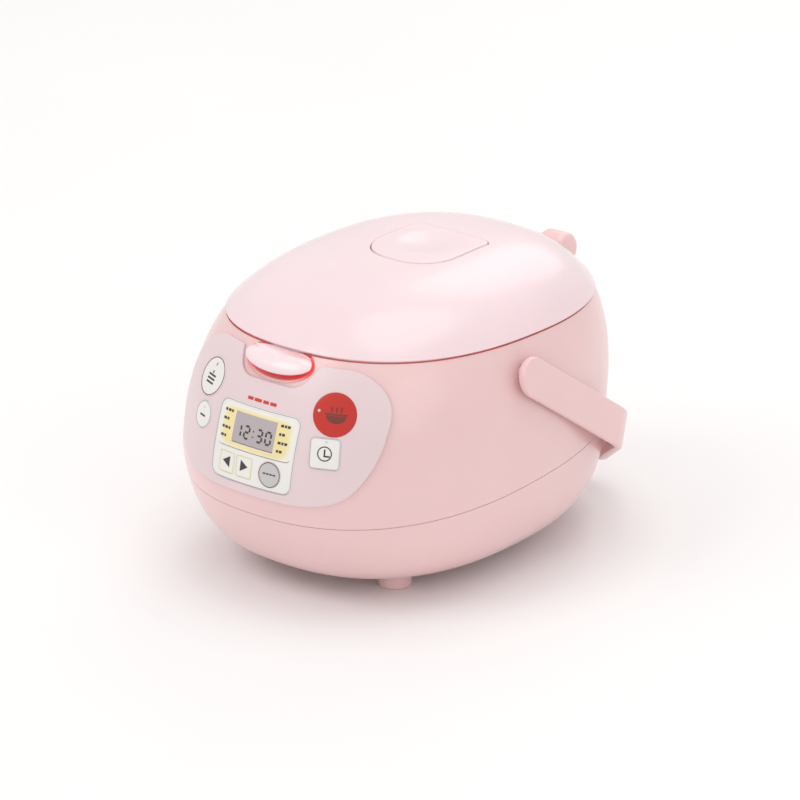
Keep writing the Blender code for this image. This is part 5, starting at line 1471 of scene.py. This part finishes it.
def make_button(name):
    """One button with its stem, its print and the line round its edge."""
    x, z = BUTTONS[name][:2]
    layer = BUTTONS[name][5]
    face, dark, dot, slot, width, colour = BUTTON_LOOKS[name]
    place = front_frame(x, z)
    if layer is KEY_LAYER:
        crown, lift = 0.0, 0.0
        height = BEZEL_LAYER[1] + (0.0004 if name == "menu_button" else 0.0001)
    else:
        crown, lift = 0.0002, 0.0001
        height = layer[1]
    outline = button_outline(name)
    mesh = plate(outline, place, layer[0], height, soft=BUTTON_SOFT, rows=10, crown=crown)
    stem = soft_rod(BUTTON_STEM_RADIUS, place @ Vector((0, 0, -0.012)),
                    place @ Vector((0, 0, 0.0015)), 0.0004, 24)
    parts = [(mesh, 0), (stem, 0)]
    parts += marks(place, height + lift + PRINT * 1.5, button_print(name))
    materials = [face, dark, dot]
    # The line round the edge is print, except on the menu button, where the brown line is painted
    # shade and red reflection at the rim.
    if colour is not None:
        edge = inset(outline, BUTTON_SOFT * 0.6)
        parts.append(hoop(place, height + PRINT * 1.5, edge, width, 3))
        materials.append(colour)
    if name == "timer_button":
        parts.append(hoop(place, height + 0.00012 + PRINT, circle(0.0046), 0.0007, 1))
    add(name + "_cap", together(parts), materials, name + "_body", [name], sharp=50)


# ---------------------------------------------------------------- base fittings
def foot_places():
    return [(x, y) for y in (-FOOT_Y, FOOT_Y) for x in (-FOOT_X, FOOT_X)]


def inlet_frame():
    """A frame on the left side of the base, local Z pointing out of the wall."""
    def skin(z):
        scale = float(section_scale(z))
        share = abs((INLET_Y - float(section_centre(z))) / (REAR_DEPTH * scale))
        return BODY_HALF_WIDTH * scale * (1 - share ** PLAN_EXPONENT) ** (1 / PLAN_EXPONENT)

    step = 0.001
    lean = (skin(INLET_Z + step) - skin(INLET_Z - step)) / (2 * step)
    out = Vector((-1, 0, -lean)).normalized()
    across = Vector((0, -1, 0))
    turn = Matrix((across, out.cross(across), out)).transposed().to_4x4()
    return Matrix.Translation((-skin(INLET_Z), INLET_Y, INLET_Z)) @ turn


def inlet_outline(grow=0.0):
    return box_outline(0.017 + grow, 0.011 + grow, 0.004 + grow)


def make_feet():
    """Four turned feet and the screw in each, with a cross recess."""
    for index, (x, y) in enumerate(foot_places(), 1):
        foot, screw = "foot_%d" % index, "base_screw_%d" % index
        profile = soft_profile([
            (FOOT_RADIUS, FOOT_TOP_Z, 0.0003), (FOOT_RADIUS, 0.0, 0.0016), (0.0042, 0.0, 0.0006),
            (0.0042, 0.0045, 0.0003), (0.0025, 0.0045, 0.0003), (0.0025, FOOT_TOP_Z, 0.0003),
        ], 0.0004)
        add(foot + "_turned", turned(profile, (x, y), 56), SHELL, "root", [foot])
        head = SCREW_HEAD_TOP_Z
        profile = soft_profile([
            (0, 0.0203), (0.0021, 0.0203, 0.0003), (0.0021, head, 0.0), (0.0038, head, 0.0003),
            (0.0038, head - 0.0022, 0.0007), (0, head - 0.0022),
        ], 0.0003)
        bars = [soft_box((x - a, y - b, 0), (x + a, y + b, head - 0.0011), 0)
                for a, b in ((0.0022, 0.0004), (0.0004, 0.0022))]
        mesh = combine(turned(profile, (x, y), 40), bars)
        add(screw + "_cross", mesh, STEEL, "root", [screw])


def make_power_inlet():
    place = inlet_frame()
    low, high = INLET_PROUD - INLET_DEPTH, INLET_PROUD
    rings = []
    for grow, z in ((0, low), (0, high - 0.0006), (-0.00018, high - 0.00018), (-0.0006, high)):
        rings.append(at_height(inlet_outline(grow), z))
    mesh = loft(rings, (0, 0, low), (0, 0, high))
    mesh.transform(place)
    cuts = [prism(box_outline(0.014, 0.008, 0.0025), 0.004 - INLET_DEPTH, 0.01, place)]
    pins = []
    for index, side in ((1, -1), (2, 1)):
        x = side * INLET_PIN_X
        ends = [place @ Vector((x, 0, z)) for z in (-INLET_DEPTH - 0.004, -0.0035)]
        pins.append(("inlet_pin_%d" % index, soft_rod(INLET_PIN_RADIUS, *ends, 0.0008)))
        cuts.append(soft_rod(INLET_PIN_RADIUS + CLEARANCE, place @ Vector((x, 0, -0.03)),
                             place @ Vector((x, 0, -0.005))))
    mesh = combine(mesh, cuts)
    add("inlet_socket", mesh, BLACK, "root", ["power_inlet"])
    for name, mesh in pins:
        add(name + "_turned", mesh, STEEL, "root", [name])


# ---------------------------------------------------------------- pieces that keep their shape
INSIDE = {
    STEEL: ("inner_case", "heating_element", "sensor_bracket", "sensor_spring", "lid_catch",
            "hinge_pin", "hinge_spring", "latch_pin", "latch_spring"),
    ALUMINIUM: ("side_heater_band", "heating_plate", "sensor_cap"),
    SHELL: ("handle_pivot_left", "handle_pivot_right"),
    WHITE: ("steam_well", "steam_cap_base"),
    SILICONE: ("steam_gasket",),
    GREY: ("lcd_module", "transformer"),
    BOARD: ("control_board", "power_board"),
}


def dress_inside():
    for material, names in INSIDE.items():
        for name in names:
            obj = NODES[name]
            if not obj.material_slots:
                raise RuntimeError(name + " has no material slot")
            for slot in obj.material_slots:
                slot.link = "OBJECT"
                slot.material = material


# ---------------------------------------------------------------- picture
def make_stage():
    """A white floor, soft area lights and a pale surround."""
    scene = bpy.context.scene
    scene.view_settings.view_transform = "Standard"
    world = bpy.data.worlds.new("surround")
    world.use_nodes = True
    background = world.node_tree.nodes["Background"]
    background.inputs["Color"].default_value = (1.0, 0.985, 0.975, 1)
    background.inputs["Strength"].default_value = 0.78
    scene.world = world

    bpy.ops.mesh.primitive_plane_add(size=8, location=(0, 0, 0))
    floor = bpy.context.object
    floor.name = "floor"
    finish = Finish("floor_white", 0.7)
    finish.ramp(finish.noise(3.0), [
        (0.0, (0.90, 0.90, 0.90)), (1.0, (0.94, 0.94, 0.94)),
    ], finish.shader.inputs["Base Color"])
    finish.rough(20.0, 0.05)
    finish.bump(finish.noise(300.0), 0.05, 0.0002)
    floor.data.materials.append(finish.material)

    # name: (place, size, watts, colour)
    lamps = {
        "key": ((-0.9, -1.5, 1.9), 1.3, 9.0, (1.0, 0.99, 0.975)),
        "side": ((1.9, -0.6, 1.1), 1.4, 3.5, (1.0, 0.985, 0.98)),
        "top": ((0.1, 0.3, 2.3), 1.8, 11.0, (1.0, 1.0, 1.0)),
        "back": ((-0.6, 1.9, 1.4), 1.4, 5.0, (1.0, 0.99, 0.99)),
    }
    for name, (place, size, power, colour) in lamps.items():
        light = bpy.data.lights.new(name, "AREA")
        light.shape = "DISK"
        light.size = size
        light.energy = power
        light.color = colour
        lamp = bpy.data.objects.new(name, light)
        lamp.location = place
        aim = Vector((0, 0, 0.09)) - Vector(place)
        lamp.rotation_euler = aim.to_track_quat("-Z", "Y").to_euler()
        scene.collection.objects.link(lamp)


def make_camera():
    """A view from the right of the front, a little above."""
    azimuth, elevation = CAMERA_AZIMUTH, CAMERA_ELEVATION
    toward = Vector((sin(azimuth) * cos(elevation), -cos(azimuth) * cos(elevation), sin(elevation)))
    right = Vector((cos(azimuth), sin(azimuth), 0))
    up = toward.cross(right)
    anchor = Vector((0, 0, 0.1017)) + SHIFT
    target = anchor + right * 0.0041 - up * 0.0081
    data = bpy.data.cameras.new("camera")
    data.sensor_width = 36
    data.lens = CAMERA_LENS
    camera = bpy.data.objects.new("camera", data)
    camera.location = target + toward * CAMERA_DISTANCE
    camera.rotation_euler = (-toward).to_track_quat("-Z", "Y").to_euler()
    bpy.context.scene.collection.objects.link(camera)
    bpy.context.scene.camera = camera


make_outer_lid()
make_body_shell()
make_seam_lips()
make_base_shell()
make_steam_cap()
make_pot()
make_deck()
make_lid_liner()
make_inner_lid()
make_lid_gasket()
make_hinge()
make_handle()
make_latch_scoop()
make_latch_lens()
make_panel()
make_bezel()
make_legend()
make_window()
for button in BUTTONS:
    make_button(button)
make_feet()
make_power_inlet()
dress_inside()
make_stage()
make_camera()

bpy.context.view_layer.update()
